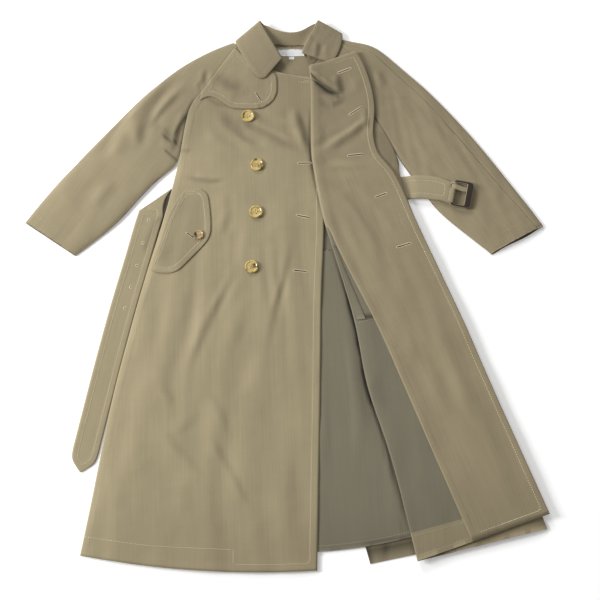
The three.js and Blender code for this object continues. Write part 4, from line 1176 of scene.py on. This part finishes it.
class Threads:
    """Many small stitches gathered into one mesh on some cloth."""

    FACES = 12  # faces of one stitch

    def __init__(self, cloths: Iterable[Object] = ()) -> None:
        """Take the cloths to sew on.

        Args:
            cloths: The cloths to sew on.
        """
        graph = bpy.context.evaluated_depsgraph_get()
        self.trees = [BVHTree.FromObject(cloth, graph) for cloth in cloths]
        self.points: list[Vector] = []
        self.faces: list[tuple[int, ...]] = []

    def surface(self, spot: Point) -> tuple[Vector, Vector] | None:
        """The highest cloth at a plan point.

        Args:
            spot: The plan point.

        Returns:
            The place and which way the cloth faces there, or nothing beside the cloth.
        """
        found = None
        for tree in self.trees:
            place, normal, _, _ = tree.ray_cast(plan(spot, SKY), -UP)
            if place is not None and (found is None or place.z > found[0].z):
                found = (place, normal)
        return found

    def bar(self, a: Vector, b: Vector, up: Vector, radius: float, flat: float = 0.7) -> None:
        """One stitch as a tapered bar.

        Args:
            a: One end.
            b: The other end.
            up: Away from the cloth.
            radius: Half its width in metres.
            flat: Height over width.
        """
        way = (b - a).normalized()
        side = way.cross(up).normalized()
        first = len(self.points)
        self.points.append(a - up * radius * 0.5)
        for t in (0.22, 0.78):
            middle = a.lerp(b, t) + up * radius * 0.35
            for x, z in ((1, 0), (0, flat), (-1, 0), (0, -flat)):
                self.points.append(middle + side * radius * x + up * radius * z)
        self.points.append(b - up * radius * 0.5)
        for i in range(4):
            j = (i + 1) % 4
            self.faces.append((first, first + 1 + j, first + 1 + i))
            self.faces.append((first + 1 + i, first + 1 + j, first + 5 + j, first + 5 + i))
            self.faces.append((first + 9, first + 5 + i, first + 5 + j))

    def lay(
        self, spot: Point, way: Point, length: float, radius: float, steepest: float = -1.0
    ) -> None:
        """One stitch that follows the cloth, if there is cloth.

        Args:
            spot: The plan point of its middle.
            way: Its plan direction.
            length: Its length.
            radius: Half its width.
            steepest: The least upward normal that it is sewn on.
        """
        hit = self.surface(spot)
        if hit is None or hit[1].z < steepest:
            return
        place, up = hit
        run = Vector((*way, 0))
        run = (run - up * run.dot(up)).normalized() * length * MM / 2
        self.bar(place - run, place + run, up, radius * MM)

    def run(
        self, points: Sequence[Point], radius: float, pitch: float = 5.2, length: float = 2.9
    ) -> None:
        """A row of straight stitches.

        Args:
            points: Plan points of the row.
            radius: Half a stitch's width.
            pitch: Distance from stitch to stitch.
            length: Visible length of a stitch.
        """
        for spot, way in walk(points, pitch):
            self.lay(spot, way, length, radius, STEEPEST)

    def across(
        self,
        points: Sequence[Point],
        radius: float,
        pitch: float,
        length: float,
        offset: float = 0.0,
    ) -> None:
        """Close stitches laid across a line, as in a bar tack or a buttonhole's edge.

        Args:
            points: Plan points of the line.
            radius: Half a stitch's width.
            pitch: Distance from stitch to stitch.
            length: Length of a stitch.
            offset: How far the stitches stand to the left of the line.
        """
        for (x, y), (dx, dy) in walk(points, pitch):
            self.lay((x - dy * offset, y + dx * offset), (-dy, dx), length, radius)

    def finish(self, name: str, finish: Finish) -> Object:
        """Close the mesh.

        Args:
            name: The object's name.
            finish: Its finish.

        Returns:
            The object.
        """
        mesh = bpy.data.meshes.new(name)
        mesh.from_pydata([tuple(p) for p in self.points], [], self.faces)
        mesh.update()
        obj = link(mesh, name)
        dress(obj, finish)
        for face in mesh.polygons:
            face.use_smooth = True
        hand_over(obj)
        return obj


@dataclass(frozen=True)
class Buttonhole:
    """A bound slit with its edge stitches."""

    start: Point
    end: Point
    width: float = 2.0

    def sew(self, pale: Threads, slit: Threads) -> None:
        """Add the hole's edge and its slit.

        Args:
            pale: Gathers the edge stitches.
            slit: Gathers the slits' painted shadow.
        """
        line = (self.start, self.end)
        for side in (-1, 1):
            offset = side * (1.0 + self.width / 2)
            pale.across(line, radius=0.55, pitch=1.1, length=self.width, offset=offset)
        # the slit is a dark bar of painted shadow in the opening
        slit.run(line, radius=1.15, pitch=2.4, length=3.4)
        size = math.dist(*line)
        way = [(b - a) / size for a, b in zip(*line)]
        for spot, sign in ((self.start, -1), (self.end, 1)):
            tip, past = ([c + w * sign * far for c, w in zip(spot, way)] for far in (1.2, 2.21))
            pale.across((tip, past), radius=0.6, pitch=0.9, length=4.6)


@dataclass(frozen=True)
class Eyelet:
    """A small sewn hole in the belt."""

    centre: Point
    radius: float = 2.6
    stitches: int = 14

    def sew(self, pale: Threads, slit: Threads) -> None:
        """Add the ring of stitches and the hole's painted shadow.

        Args:
            pale: Gathers the ring's stitches.
            slit: Gathers the hole's painted shadow.
        """
        x, y = self.centre
        for k in range(self.stitches):
            dx, dy = math.cos(math.tau * k / self.stitches), math.sin(math.tau * k / self.stitches)
            spot = (x + self.radius * dx, y + self.radius * dy)
            tangent = (spot, (spot[0] - dy, spot[1] + dx))
            pale.across(tangent, radius=0.6, pitch=1.0, length=2.1)
        # the hole is dark bars of painted shadow
        for shift in (-0.8, 0.0, 0.8):
            chord = ((x - 1.5, y + shift), (x + 1.5, y + shift))
            slit.run(chord, radius=0.75, pitch=3.0, length=2.8)


@dataclass(frozen=True)
class Sewing:
    """What is sewn on one piece with one thread."""

    node: str
    finish: Finish = Finish.STITCH
    insets: tuple[tuple[float, Keep], ...] = ()
    rows: tuple[tuple[Point, ...], ...] = ()
    tacks: tuple[tuple[Point, ...], ...] = ()
    holes: tuple[Buttonhole | Eyelet, ...] = ()
    radius: float = 0.6

    def sew(self, cloth: Object) -> list[Object]:
        """Sew every row, bar tack and hole.

        Args:
            cloth: The finished cloth.

        Returns:
            The thread, and the slits if there are holes.
        """
        thread, slit = Threads([cloth]), Threads([cloth])
        insets = [row for inset, keep in self.insets for row in inset_rows(cloth, inset, keep)]
        for row in (*insets, *self.rows):
            thread.run(row, self.radius)
        for row in self.tacks:
            thread.across(row, radius=0.4, pitch=0.9, length=2.6)
        for hole in self.holes:
            hole.sew(thread, slit)
        made = [thread.finish(f"{self.node}_{self.finish.name.lower()}", self.finish)]
        if slit.faces:
            made.append(slit.finish(self.node + "_slits", Finish.SLIT))
        LOG.info("%s sewn: %d stitches", self.node, len(thread.faces) // thread.FACES)
        return made


def right_of(line: Sequence[Point], x: Array, y: Array) -> Array:
    """How far plan points lie to the right of a line that runs down the plan."""
    xs, ys = zip(*reversed(line))
    return x - np.interp(y, ys, xs)


FACING_MIDDLE = (
    (108, 530), (124, 350), (130, 290), (160, 236), (176, 160),
    (206, 76), (280, -90), (324, -202), (383, -355), (446, -560),
)
SEWING = (
    Sewing(
        "front_right",
        insets=((15, lambda x, y: (x > 30 and y < 478) or (x > -98 and y < -585)),),
        rows=(
            ((-16, 488.5), (20, 482), (53, 475.5)),
            ((-99, -598), (-99, -572)),
            ((-394, -545), (-330, -555), (-264, -563), (-180, -568), (-103, -571)),
        ),
        holes=(
            Buttonhole((30, 269), (56, 270)),
            Buttonhole((27, 147), (52, 142)),
            Buttonhole((20, 21), (47, 19)),
        ),
    ),
    Sewing(
        "front_right", Finish.LOCKSTITCH,
        rows=(((-178, 443), (-207, 403), (-216, 329), (-225, 270)),),
        tacks=(((42, 470), (55, 469)),),
        radius=0.42,
    ),
    Sewing(
        "sleeve_right_front", Finish.LOCKSTITCH,
        rows=(((-532, 147), (-437, 82)), ((-531, 150), (-435, 85))),
    ),
    Sewing(
        "sleeve_left_front", Finish.LOCKSTITCH,
        rows=(((514, 132), (432, 86)), ((512, 135), (430, 89))),
    ),
    Sewing(
        "storm_flap_right",
        insets=((12, lambda x, y: y < 462),),
        holes=(Buttonhole((-64, 438), (-52, 419), 1.2),),
    ),
    Sewing(
        "pocket_flap_right",
        insets=((12, lambda x, y: True),),
        rows=(
            ((-211, 199), (-192, 200), (-176, 190)),
            ((-276, 27), (-258, 22), (-236, 22)),
            ((-217, 196), (-243, 135), (-266, 60), (-276, 30)),
        ),
        holes=(Buttonhole((-207, 104), (-194, 95), 1.2),),
    ),
    Sewing("collar_fall", Finish.LOCKSTITCH, insets=((6, lambda x, y: y < 585),), radius=0.3),
    Sewing(
        "facing_left",
        insets=(
            (12.5, lambda x, y: right_of(FACING_MIDDLE, x, y) > 0),
            (12.4, lambda x, y: x > 388 and y < -538 + (x - 374) * 0.359),
        ),
        holes=(
            Buttonhole((117, 485), (144, 496)),
            Buttonhole((142, 384), (167, 401)),
            Buttonhole((138, 285), (168, 289)),
            Buttonhole((195, 186), (218, 196)),
            Buttonhole((239, 71), (267, 80)),
        ),
    ),
    Sewing(
        "front_left", Finish.GRAY_STITCH,
        rows=(((155, -98), (189, -89)), ((259, -545), (360, -517)), ((262, -586), (374, -548))),
    ),
    Sewing(
        "pleat_underlay", Finish.GRAY_STITCH, insets=((11, lambda x, y: y < -500 and x < 262),)
    ),
    Sewing(
        "back_neck_facing", Finish.LOCKSTITCH,
        rows=(((12.5, 523), (11.5, 480)), ((17.5, 523), (16.5, 480))),
        radius=0.35,
    ),
    Sewing(
        "belt",
        insets=((12, lambda x, y: True),),
        holes=tuple(
            Eyelet(spot)
            for spot in ((-291, 137), (-301, 85), (-312, 34), (-323, -15), (-334, -62))
        ),
    ),
)


# Hard pieces


@dataclass(frozen=True)
class Button:
    """A four-hole horn button sewn on with thread."""

    node: str
    finish: Finish
    slot: str
    turn: float

    def build(self) -> Object:
        """Model the button over its solid and sew it on.

        Returns:
            The button.
        """
        low, high = (Vector(c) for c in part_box(self.node))
        middle, size = (low + high) / 2, high - low
        radius, height = max(size.x, size.y) / 2, size.z
        x, y = (np.array([middle[i] / MM - PLAN_SHIFT[i]]) for i in (0, 1))
        rise = float(Region.RIGHT.value.lift(x, y)[0]) * MM
        bpy.ops.object.select_all(action="DESELECT")
        bpy.ops.mesh.primitive_cylinder_add(vertices=48, radius=radius, depth=height)
        obj = bpy.context.object
        obj.name = self.node + "_horn"
        bpy.ops.object.mode_set(mode="EDIT")
        self.pick(obj, lambda c: c.z > height * 0.4)
        for inset, lift in ((0.17, 0.06), (0.12, -0.30), (0.3, -0.05)):
            bpy.ops.mesh.inset(thickness=radius * inset)
            bpy.ops.transform.translate(value=(0, 0, height * lift))
        self.pick(obj, lambda c: c.z < -height * 0.4)
        bpy.ops.mesh.inset(thickness=radius * 0.2)
        bpy.ops.object.mode_set(mode="OBJECT")
        hole = radius * 0.2
        for x, y in ((1, 1), (1, -1), (-1, 1), (-1, -1)):
            bpy.ops.mesh.primitive_cylinder_add(
                vertices=16,
                radius=radius * 0.09,
                depth=height * 3,
                location=(x * hole, y * hole, 0),
            )
            drill = bpy.context.object
            cut = obj.modifiers.new("hole", "BOOLEAN")
            cut.operation, cut.object, cut.solver = "DIFFERENCE", drill, "EXACT"
            apply_modifiers(obj)
            bpy.data.objects.remove(drill)
        round_edges(obj, radius * 0.045, 30)
        place = Matrix.Translation(middle + UP * rise)
        place = place @ Matrix.Rotation(math.radians(self.turn), 4, "Z")
        obj.data.transform(place)
        dress(obj, self.finish)
        shade_smooth(obj, HORN_ANGLE)
        hand_over(obj, self.node)
        thread = Threads()
        for x, y, u, v in ((1, 1, 1, -1), (-1, 1, -1, -1), (1, 1, -1, 1), (1, -1, -1, -1)):
            start, end = (
                place @ Vector((a * hole, b * hole, height * 0.24)) for a, b in ((x, y), (u, v))
            )
            for shift in (-0.0005, 0, 0.0005):
                aside = (end - start).normalized().cross(UP) * shift
                thread.bar(start + aside, end + aside, UP, 0.00045)
        thread.finish(self.node + "_thread", Finish.LOCKSTITCH)
        LOG.info("%s sewn on", self.node)
        return obj

    @staticmethod
    def pick(obj: Object, test: Callable[[Vector], bool]) -> None:
        """Select the faces whose middle passes a test, in edit mode.

        Args:
            obj: The object in edit mode.
            test: Says from a face's middle whether to take it.
        """
        bpy.ops.mesh.select_mode(type="FACE")
        bpy.ops.mesh.select_all(action="DESELECT")
        bm = bmesh.from_edit_mesh(obj.data)
        for face in bm.faces:
            face.select = test(face.calc_center_median())
        bmesh.update_edit_mesh(obj.data)


@dataclass(frozen=True)
class Moulded:
    """A hard piece that keeps its solid's shape with rounded edges."""

    node: str
    finish: Finish
    slot: str
    bevel: float

    def build(self) -> Object:
        """Copy the solid and round its edges.

        Returns:
            The finished object.
        """
        bm = bmesh.new()
        bm.from_mesh(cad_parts[self.node].data)
        bmesh.ops.remove_doubles(bm, verts=bm.verts[:], dist=1e-5)
        bmesh.ops.dissolve_limit(
            bm, angle_limit=math.radians(1.5), verts=bm.verts[:], edges=bm.edges[:]
        )
        obj = from_bmesh(bm, self.node + "_moulded")
        round_edges(obj, self.bevel * MM, 35)
        up = read(obj.data.vertices, "normal")[:, 2]
        # edge marks the bevels that face upwards; the resin and the tongue's cover paint them paler
        # as a painted highlight
        keep_value(obj, "edge", np.exp(-(((np.abs(up) - 0.55) / 0.2) ** 2)) * (up > 0))
        keep_value(obj, "relief", np.zeros_like(up))
        dress(obj, self.finish)
        shade_smooth(obj, MOULDED_ANGLE)
        hand_over(obj, self.node)
        LOG.info("%s moulded", self.node)
        return obj


# Edges that the scene draws a little further than the solids


SIDE_OF_RIGHT = ((-231, 269), (-247, 188), (-264, 118), (-283, 47))
FOLD_OF_LEFT = ((80, 150), (101, 75), (149, -92), (178, -205), (212, -355), (265, -594))
FACING_INNER = (
    (61, 503), (63, 487), (65, 462), (65, 330), (66, 286), (73, 238), (88, 150), (110, 74),
)


def moved(
    points: Array, x: Array | float = 0.0, y: Array | float = 0.0, z: Array | float = 0.0
) -> Array:
    """A shift for each point, from its three parts.

    Args:
        points: The points to shift.
        x: Shift across.
        y: Shift down.
        z: Shift up.

    Returns:
        One row of three for each point.
    """
    shift = np.zeros_like(points)
    shift[:, 0], shift[:, 1], shift[:, 2] = x, y, z
    return shift


def cover_fold(points: Array) -> Array:
    """Draw the facing's inner edge over the rounded fold, so that no step shows beside it.

    Args:
        points: The facing's points in millimetres.

    Returns:
        A shift for each.
    """
    x, y, _ = points.T
    inside = right_of(FACING_INNER, x, y)
    high = smooth((y - 96) / 40)
    rise = 0.5 * np.exp(-(((inside - 8) / 8) ** 2)) - 0.9 * np.exp(-((inside / 2.5) ** 2))
    return moved(points, -6.8 * (1 - smooth(inside / 18)) * high, z=rise * high)


def draw_in_edge(points: Array) -> Array:
    """Bend the opened front's inner edge towards the pleat, where the cloth sags.

    Args:
        points: The front's points in millimetres.

    Returns:
        A shift for each.
    """
    x, y, _ = points.T
    near = 1 - smooth(right_of(FOLD_OF_LEFT, x, y) / 52)
    return moved(points, -13 * near * np.exp(-(((y + 232) / 108) ** 2)) * (x > 60))


def spread_side(points: Array) -> Array:
    """Let the back's side reach into the opening beside the belt's tail, where its shades darken it
    nearly to black as painted shadow.

    Args:
        points: The back's points in millimetres.

    Returns:
        A shift for each.
    """
    x, y, _ = points.T
    near = 1 - smooth(right_of(SIDE_OF_RIGHT, x, y) / 22)
    return moved(points, -15 * near * (smooth((y - 30) / 25) * smooth((204 - y) / 16)))


def lengthen_cuff(points: Array) -> Array:
    """Let the sleeve's back layer show below the front one at the cuff, where a shade paints the
    opening's shadow on it.

    Args:
        points: The sleeve's points in millimetres.

    Returns:
        A shift for each.
    """
    x, y, _ = points.T
    off = (x - 440) * 0.55 - (y - 56) * 0.835
    uneven = smooth((off + 16) / 14) * (x > 430) * (1 + 0.5 * np.sin(x / 13))
    return moved(points, 1.3 * uneven, -1.9 * uneven)


def widen_hidden_run(points: Array) -> Array:
    """Spread the belt's hidden run where it leaves the coat, so that it fills the opening and
    carries painted shadow there.

    Args:
        points: The belt's points in millimetres.

    Returns:
        A shift for each.
    """
    x, y, z = points.T
    low = (z < 3.2) & (y < 168) & (y > 120)
    return moved(points, y=-44 * low * np.exp(-(((x + 254) / 15) ** 2)))


def wrong_side_of_back(x: Array, y: Array, z: Array, up: Array) -> Array:
    """Where a back shows its wrong side: below the neck and above the turned-up hem."""
    return (up > 0.2) & (y < 540) & (y > -548 + 0.12 * np.maximum(x - 165, 0))


def right_side_of_left(x: Array, y: Array, z: Array, up: Array) -> Array:
    """Where the left front shows its right side, or its turned-up hem.

    Args:
        x: X of the faces on the plan, in millimetres.
        y: Y of the faces.
        z: Height of the faces.
        up: Upward part of their normals.

    Returns:
        True for the faces.
    """
    hem = (up > 0) & (z > 9) & (y < -542 + 28 * (x - 256) / 102) & (x > 250) & (x < 380)
    return ((up > 0) & (z < 9.0)) | ((up < 0) & (z > 8.9)) | (y > 118) | hem


def behind_the_tail(x: Array, y: Array, z: Array, up: Array) -> Array:
    """Where the belt lies in deep shade, beside its tail."""
    return (z < 4.6) & (up > -0.2) & (x > -272) & (x < -222) & (y > 100) & (y < 214)


# The coat


@dataclass(frozen=True)
class Group:
    """A sub-assembly: cloth pieces, and hard pieces that lie on them."""

    name: str
    cloths: tuple[Cloth, ...] = ()
    hard: tuple[Button | Moulded, ...] = ()

    def build(self) -> dict[str, Object]:
        """Build the pieces in order.

        Returns:
            The cloth pieces by their solid's name.
        """
        made = {cloth.node: cloth.build() for cloth in self.cloths}
        for piece in self.hard:
            piece.build()
        LOG.info("%s: %d pieces", self.name, len(self.cloths) + len(self.hard))
        return made


BACK_LINING = (Finish.INSIDE, wrong_side_of_back)
SHELL = Group("shell", (
    Cloth(
        "back_right", Finish.BACK, Region.BENEATH, (0.432, 1.169), 0.355, levels=2,
        shape=spread_side, lined=BACK_LINING,
        # painted shadow in the opening beside the belt's tail
        shades=shades(
            (13.0, 1.0, (-246, 230), (-255, 186), (-262, 150), (-280, 90), (-300, 10)),
        ),
    ),
    Cloth(
        "back_left", Finish.BACK, Region.BENEATH, (0.51, 1.164), 0.324, levels=2,
        lined=BACK_LINING,
        shades=shades(
            (10.0, 0.45, (150, -569), (214, -561), (275, -551)),
            (34.0, 0.26, (110, -588), (310, -570)), (3.0, 0.5, (199, -535), (201, -620)),
        ),
    ),
    Cloth(
        "pleat_underlay", Finish.INSIDE, Region.BENEATH, (0.272, 0.646), 0.1136,
        slot="cloth_wrong_side", rests=("back_left",), floor=1.8,
        shades=shades(
            (3.6, 0.85, (100, 73), (121, 0), (135, -49), (151, -107), (161, -185), (176, -256),
            (207, -358), (229, -442), (249, -528)),
            (6.5, 0.75, (132, -36), (144, -84), (151, -112), (157, -160)),
            (5.5, 0.7, (161, -185), (168, -230), (180, -275)),
            (16.0, 0.16, (140, -20), (160, -220), (186, -340)),
            (1.9, 0.34, (196, -350), (222, -440), (233, -490), (236, -545)),
            (5.0, 0.3, (150, -560), (200, -552), (262, -545)),
        ),
    ),
    Cloth(
        "back_neck_facing", Finish.FACING, Region.BENEATH, (0.144, 0.086), 0.0112,
        rests=("back_right", "back_left"), floor=1.8,
    ),
    Cloth(
        "label", Finish.LABEL, Region.STILL, (0.058, 0.018), levels=2,
        slot="label_cloth", rests=("back_neck_facing",), floor=3.4,
    ),
    Cloth(
        "size_tab", Finish.LABEL, Region.STILL, (0.012, 0.01), levels=2,
        slot="label_cloth", floor=3.4,
    ),
))
SLEEVE_SHADES = shades(
    (22.0, 0.2, (-262, 356), (-240, 330), (-228, 300)),
    (3.4, 0.5, (-268, 338), (-249, 322), (-229, 316)),
    (3.4, 0.5, (-263, 304), (-246, 286), (-230, 275)),
    (3.6, 0.45, (-243, 330), (-229, 360), (-214, 388)),
    (4.0, 0.5, (-200, 428), (-214, 392), (-221, 340), (-227, 290)),
)
RIGHT_SIDE = Group("right side", (
    Cloth(
        "front_right", Finish.FRONT, Region.RIGHT, (0.488, 1.177), 0.423,
        rests=("back_right",), hemmed=15,
        shades=shades(
            (7.0, 0.34, (29, 393), (42, 354), (52, 313), (57, 277), (64, 234)),
            (9.0, 0.17, (-140, 392), (-112, 362), (-88, 328), (-54, 302)),
            (8.0, 0.19, (-98, 372), (-74, 358), (-48, 344), (-4, 318), (40, 296)),
            (3.0, 0.2, (-231, 300), (-216, 301), (-204, 298)),
            (5.0, 0.22, (-214, 236), (-190, 230), (-160, 226), (-130, 228)),
            (3.2, 0.55, (54, 400), (54, 330), (56, 286), (62, 238), (78, 150)),
            (5.0, 0.22, (-205, 428), (-180, 434), (-150, 412), (-100, 406)),
            (5.0, 0.09, (-253, -231), (-238, -250), (-221, -273)),
            (7.0, 0.09, (-152, -248), (-127, -290), (-111, -337)),
            (6.0, 0.1, (-150, -337), (-125, -379), (-100, -424), (-67, -485)),
            (8.0, 0.1, (-242, -328), (-219, -362), (-189, -391), (-169, -412)),
            (8.0, 0.05, (-211, -337), (-191, -312), (-167, -290)),
            (12.0, 0.08, (-200, -436), (-199, -477), (-213, -550)),
        ),
    ),
    *(
        Cloth(
            node, Finish.SLEEVE_RIGHT, Region.RIGHT, (0.19, 0.617), 0.0747,
            levels=levels, rests=("floor",), shades=SLEEVE_SHADES,
        )
        for node, levels in (("sleeve_right_back", 2), ("sleeve_right_front", 3))
    ),
    Cloth(
        "storm_flap_right", Finish.FRONT, Region.RIGHT, (0.17, 0.154), 0.016,
        rests=("front_right",), hemmed=12,
        shades=shades(
            (12.0, 0.2, (-152, 486), (-136, 462), (-92, 446)),
            (6.0, 0.2, (-170, 500), (-176, 460)),
        ),
    ),
    Cloth(
        "pocket_flap_right", Finish.FRONT, Region.RIGHT, (0.12, 0.2), 0.0161,
        rests=("front_right",), hemmed=12,
        shades=shades(
            (85.0, 0.14, (-232, 210), (-228, 120), (-240, 10)),
        ),
    ),
))
LEFT_SIDE = Group("left side", (
    Cloth(
        "front_left", Finish.INSIDE, Region.OPENED, (0.549, 1.15), 0.46,
        rests=("back_left",), shape=draw_in_edge, lined=(Finish.BACK, right_side_of_left),
        shades=shades(
            (5.0, 0.95, (199, 384), (206, 368)),
            (4.2, 0.7, (208, 366), (221, 348), (234, 321), (246, 287), (252, 249)),
            (16.0, 0.2, (206, 352), (218, 300), (240, 262)),
            (2.6, 0.75, (150, -88), (166, -86), (192, -84)),
        ),
    ),
    Cloth(
        "facing_left", Finish.FACING, Region.OPENED, (0.2, 1.12), 0.182,
        rests=("front_left",), hemmed=12.5, shape=cover_fold,
        shades=shades(
            (4.4, 0.62, (58, 478), (70, 458), (94, 439), (114, 430)),
            (11.0, 0.25, (62, 464), (82, 445), (110, 430)),
            (8.0, 0.22, (112, 470), (122, 446), (116, 428)),
        ),
    ),
    Cloth(
        "pocket_bag_left", Finish.INSIDE, Region.OPENED, (0.0125, 0.165),
        slot="cloth_wrong_side", rests=("front_left",),
    ),
    Cloth(
        "sleeve_left_back", Finish.SLEEVE_LEFT, Region.LEFT, (0.2, 0.62), 0.0927, levels=2,
        rests=("floor",), shape=lengthen_cuff,
        shades=shades(
            (5.0, 0.72, (440, 52), (496, 92), (553, 126)),
        ),
    ),
    Cloth(
        "sleeve_left_front", Finish.SLEEVE_LEFT, Region.LEFT, (0.17, 0.6), 0.0647,
        rests=("sleeve_left_back",),
    ),
))
COLLAR = Group("collar", (
    Cloth(
        "collar_stand", Finish.COLLAR, Region.STILL, (0.035, 0.3), 0.0052, levels=2,
        rests=("back_neck_facing",), floor=1.8,
    ),
    Cloth(
        "collar_fall", Finish.COLLAR, Region.COLLAR, (0.1, 0.33), 0.0212,
        rests=("front_right",), hemmed=11,
    ),
))
BELT = Group(
    "belt",
    (
        Cloth(
            "belt", Finish.BELT, Region.STILL, (0.054, 1.28),
            rests=("front_right", "front_left"), held="folded", hemmed=12,
            # the belt beside its tail takes the deep_shade finish as painted shadow
            shape=widen_hidden_run, lined=(Finish.SHADE, behind_the_tail),
            shades=shades(
                (52.0, 0.18, (230, 150), (290, 140), (370, 118)),
                (5.0, 0.3, (-258, 150), (-276, 132), (-300, 60)),
            ),
        ),
    ),
    (
        Moulded("buckle_frame", Finish.RESIN, "buckle_resin", 0.7),
        Moulded("buckle_tongue", Finish.TONGUE, "tongue_resin", 0.5),
    ),
)
BUTTONS = Group(
    "buttons",
    hard=(
        *(
            Button(f"button_front_{number}", Finish.HORN, "horn_button", turn)
            for number, turn in enumerate((35, 12, 58, 24), 1)
        ),
        Button("button_pocket", Finish.HORN_DARK, "dark_horn_button", 40),
    ),
)


class Coat:
    """The whole coat, built group by group, sewn and handed over."""

    groups = (SHELL, RIGHT_SIDE, LEFT_SIDE, COLLAR, BELT, BUTTONS)

    def __init__(self) -> None:
        """Start with no pieces."""
        self.made: dict[str, Object] = {}
        self.sewn: dict[str, list[Object]] = {}

    def build(self) -> None:
        """Build every group."""
        for group in self.groups:
            self.made |= group.build()

    def sew(self) -> None:
        """Every row of stitches, buttonhole and eyelet."""
        for plan_of in SEWING:
            self.sewn.setdefault(plan_of.node, []).extend(plan_of.sew(self.made[plan_of.node]))

    def declare(self) -> None:
        """Let every cloth piece ride on the coat in place of its solid."""
        for cloth in (cloth for group in self.groups for cloth in group.cloths):
            obj, going = self.made[cloth.node], self.sewn.get(cloth.node, [])
            if cloth.node == "size_tab":
                hand_over(obj, cloth.node)
            else:
                tab = [self.made["size_tab"]] if cloth.node == "label" else []
                cloth.declare(obj, going + tab)


# The studio


@dataclass(frozen=True)
class Lamp:
    """One soft lamp that looks at the coat's middle."""

    name: str
    place: tuple[float, float, float]
    size: float
    power: float

    def build(self) -> None:
        """Put the lamp into the scene."""
        lamp = bpy.data.lights.new(self.name, "AREA")
        lamp.energy, lamp.size = self.power, self.size
        obj = link(lamp, self.name)
        obj.location = self.place
        obj.rotation_euler = (-Vector(self.place)).to_track_quat("-Z", "Y").to_euler()


@dataclass(frozen=True)
class Studio:
    """Floor, light and camera."""

    floor_size: float = 12.0
    floor_height: float = -0.0004
    sky: float = 0.40
    lamps: tuple[Lamp, ...] = (
        Lamp("key", (-3.9, 0.2, 2.1), 1.5, 215),
        Lamp("top", (-2.4, 5.2, 2.9), 2.0, 200),
    )
    eye: tuple[float, float, float] = (0.0335, -1.1387, 3.007)
    tilt: float = 20.0
    lens: float = 91.44

    def build(self) -> None:
        """Set everything up as in the photograph."""
        scene = bpy.context.scene
        scene.view_settings.view_transform = "Standard"
        bpy.ops.mesh.primitive_plane_add(size=self.floor_size, location=(0, 0, self.floor_height))
        floor = bpy.context.object
        floor.name = "floor"
        dress(floor, Finish.FLOOR)
        world = bpy.data.worlds.new("studio")
        world.use_nodes = True
        background = world.node_tree.nodes["Background"]
        background.inputs["Color"].default_value = (1.0, 0.995, 0.985, 1)
        background.inputs["Strength"].default_value = self.sky
        scene.world = world
        for lamp in self.lamps:
            lamp.build()
        camera = bpy.data.cameras.new("camera")
        camera.lens, camera.sensor_width = self.lens, 36
        eye = link(camera, "camera")
        eye.location = self.eye
        eye.rotation_euler = (math.radians(self.tilt), 0, 0)
        scene.camera = eye
        LOG.info("studio set up")


def main() -> None:
    """Light the studio, build the coat, sew it and hand it over."""
    logging.basicConfig(level=logging.INFO, format="%(message)s")
    Studio().build()
    coat = Coat()
    coat.build()
    coat.sew()
    coat.declare()


if __name__ == "__main__":
    main()
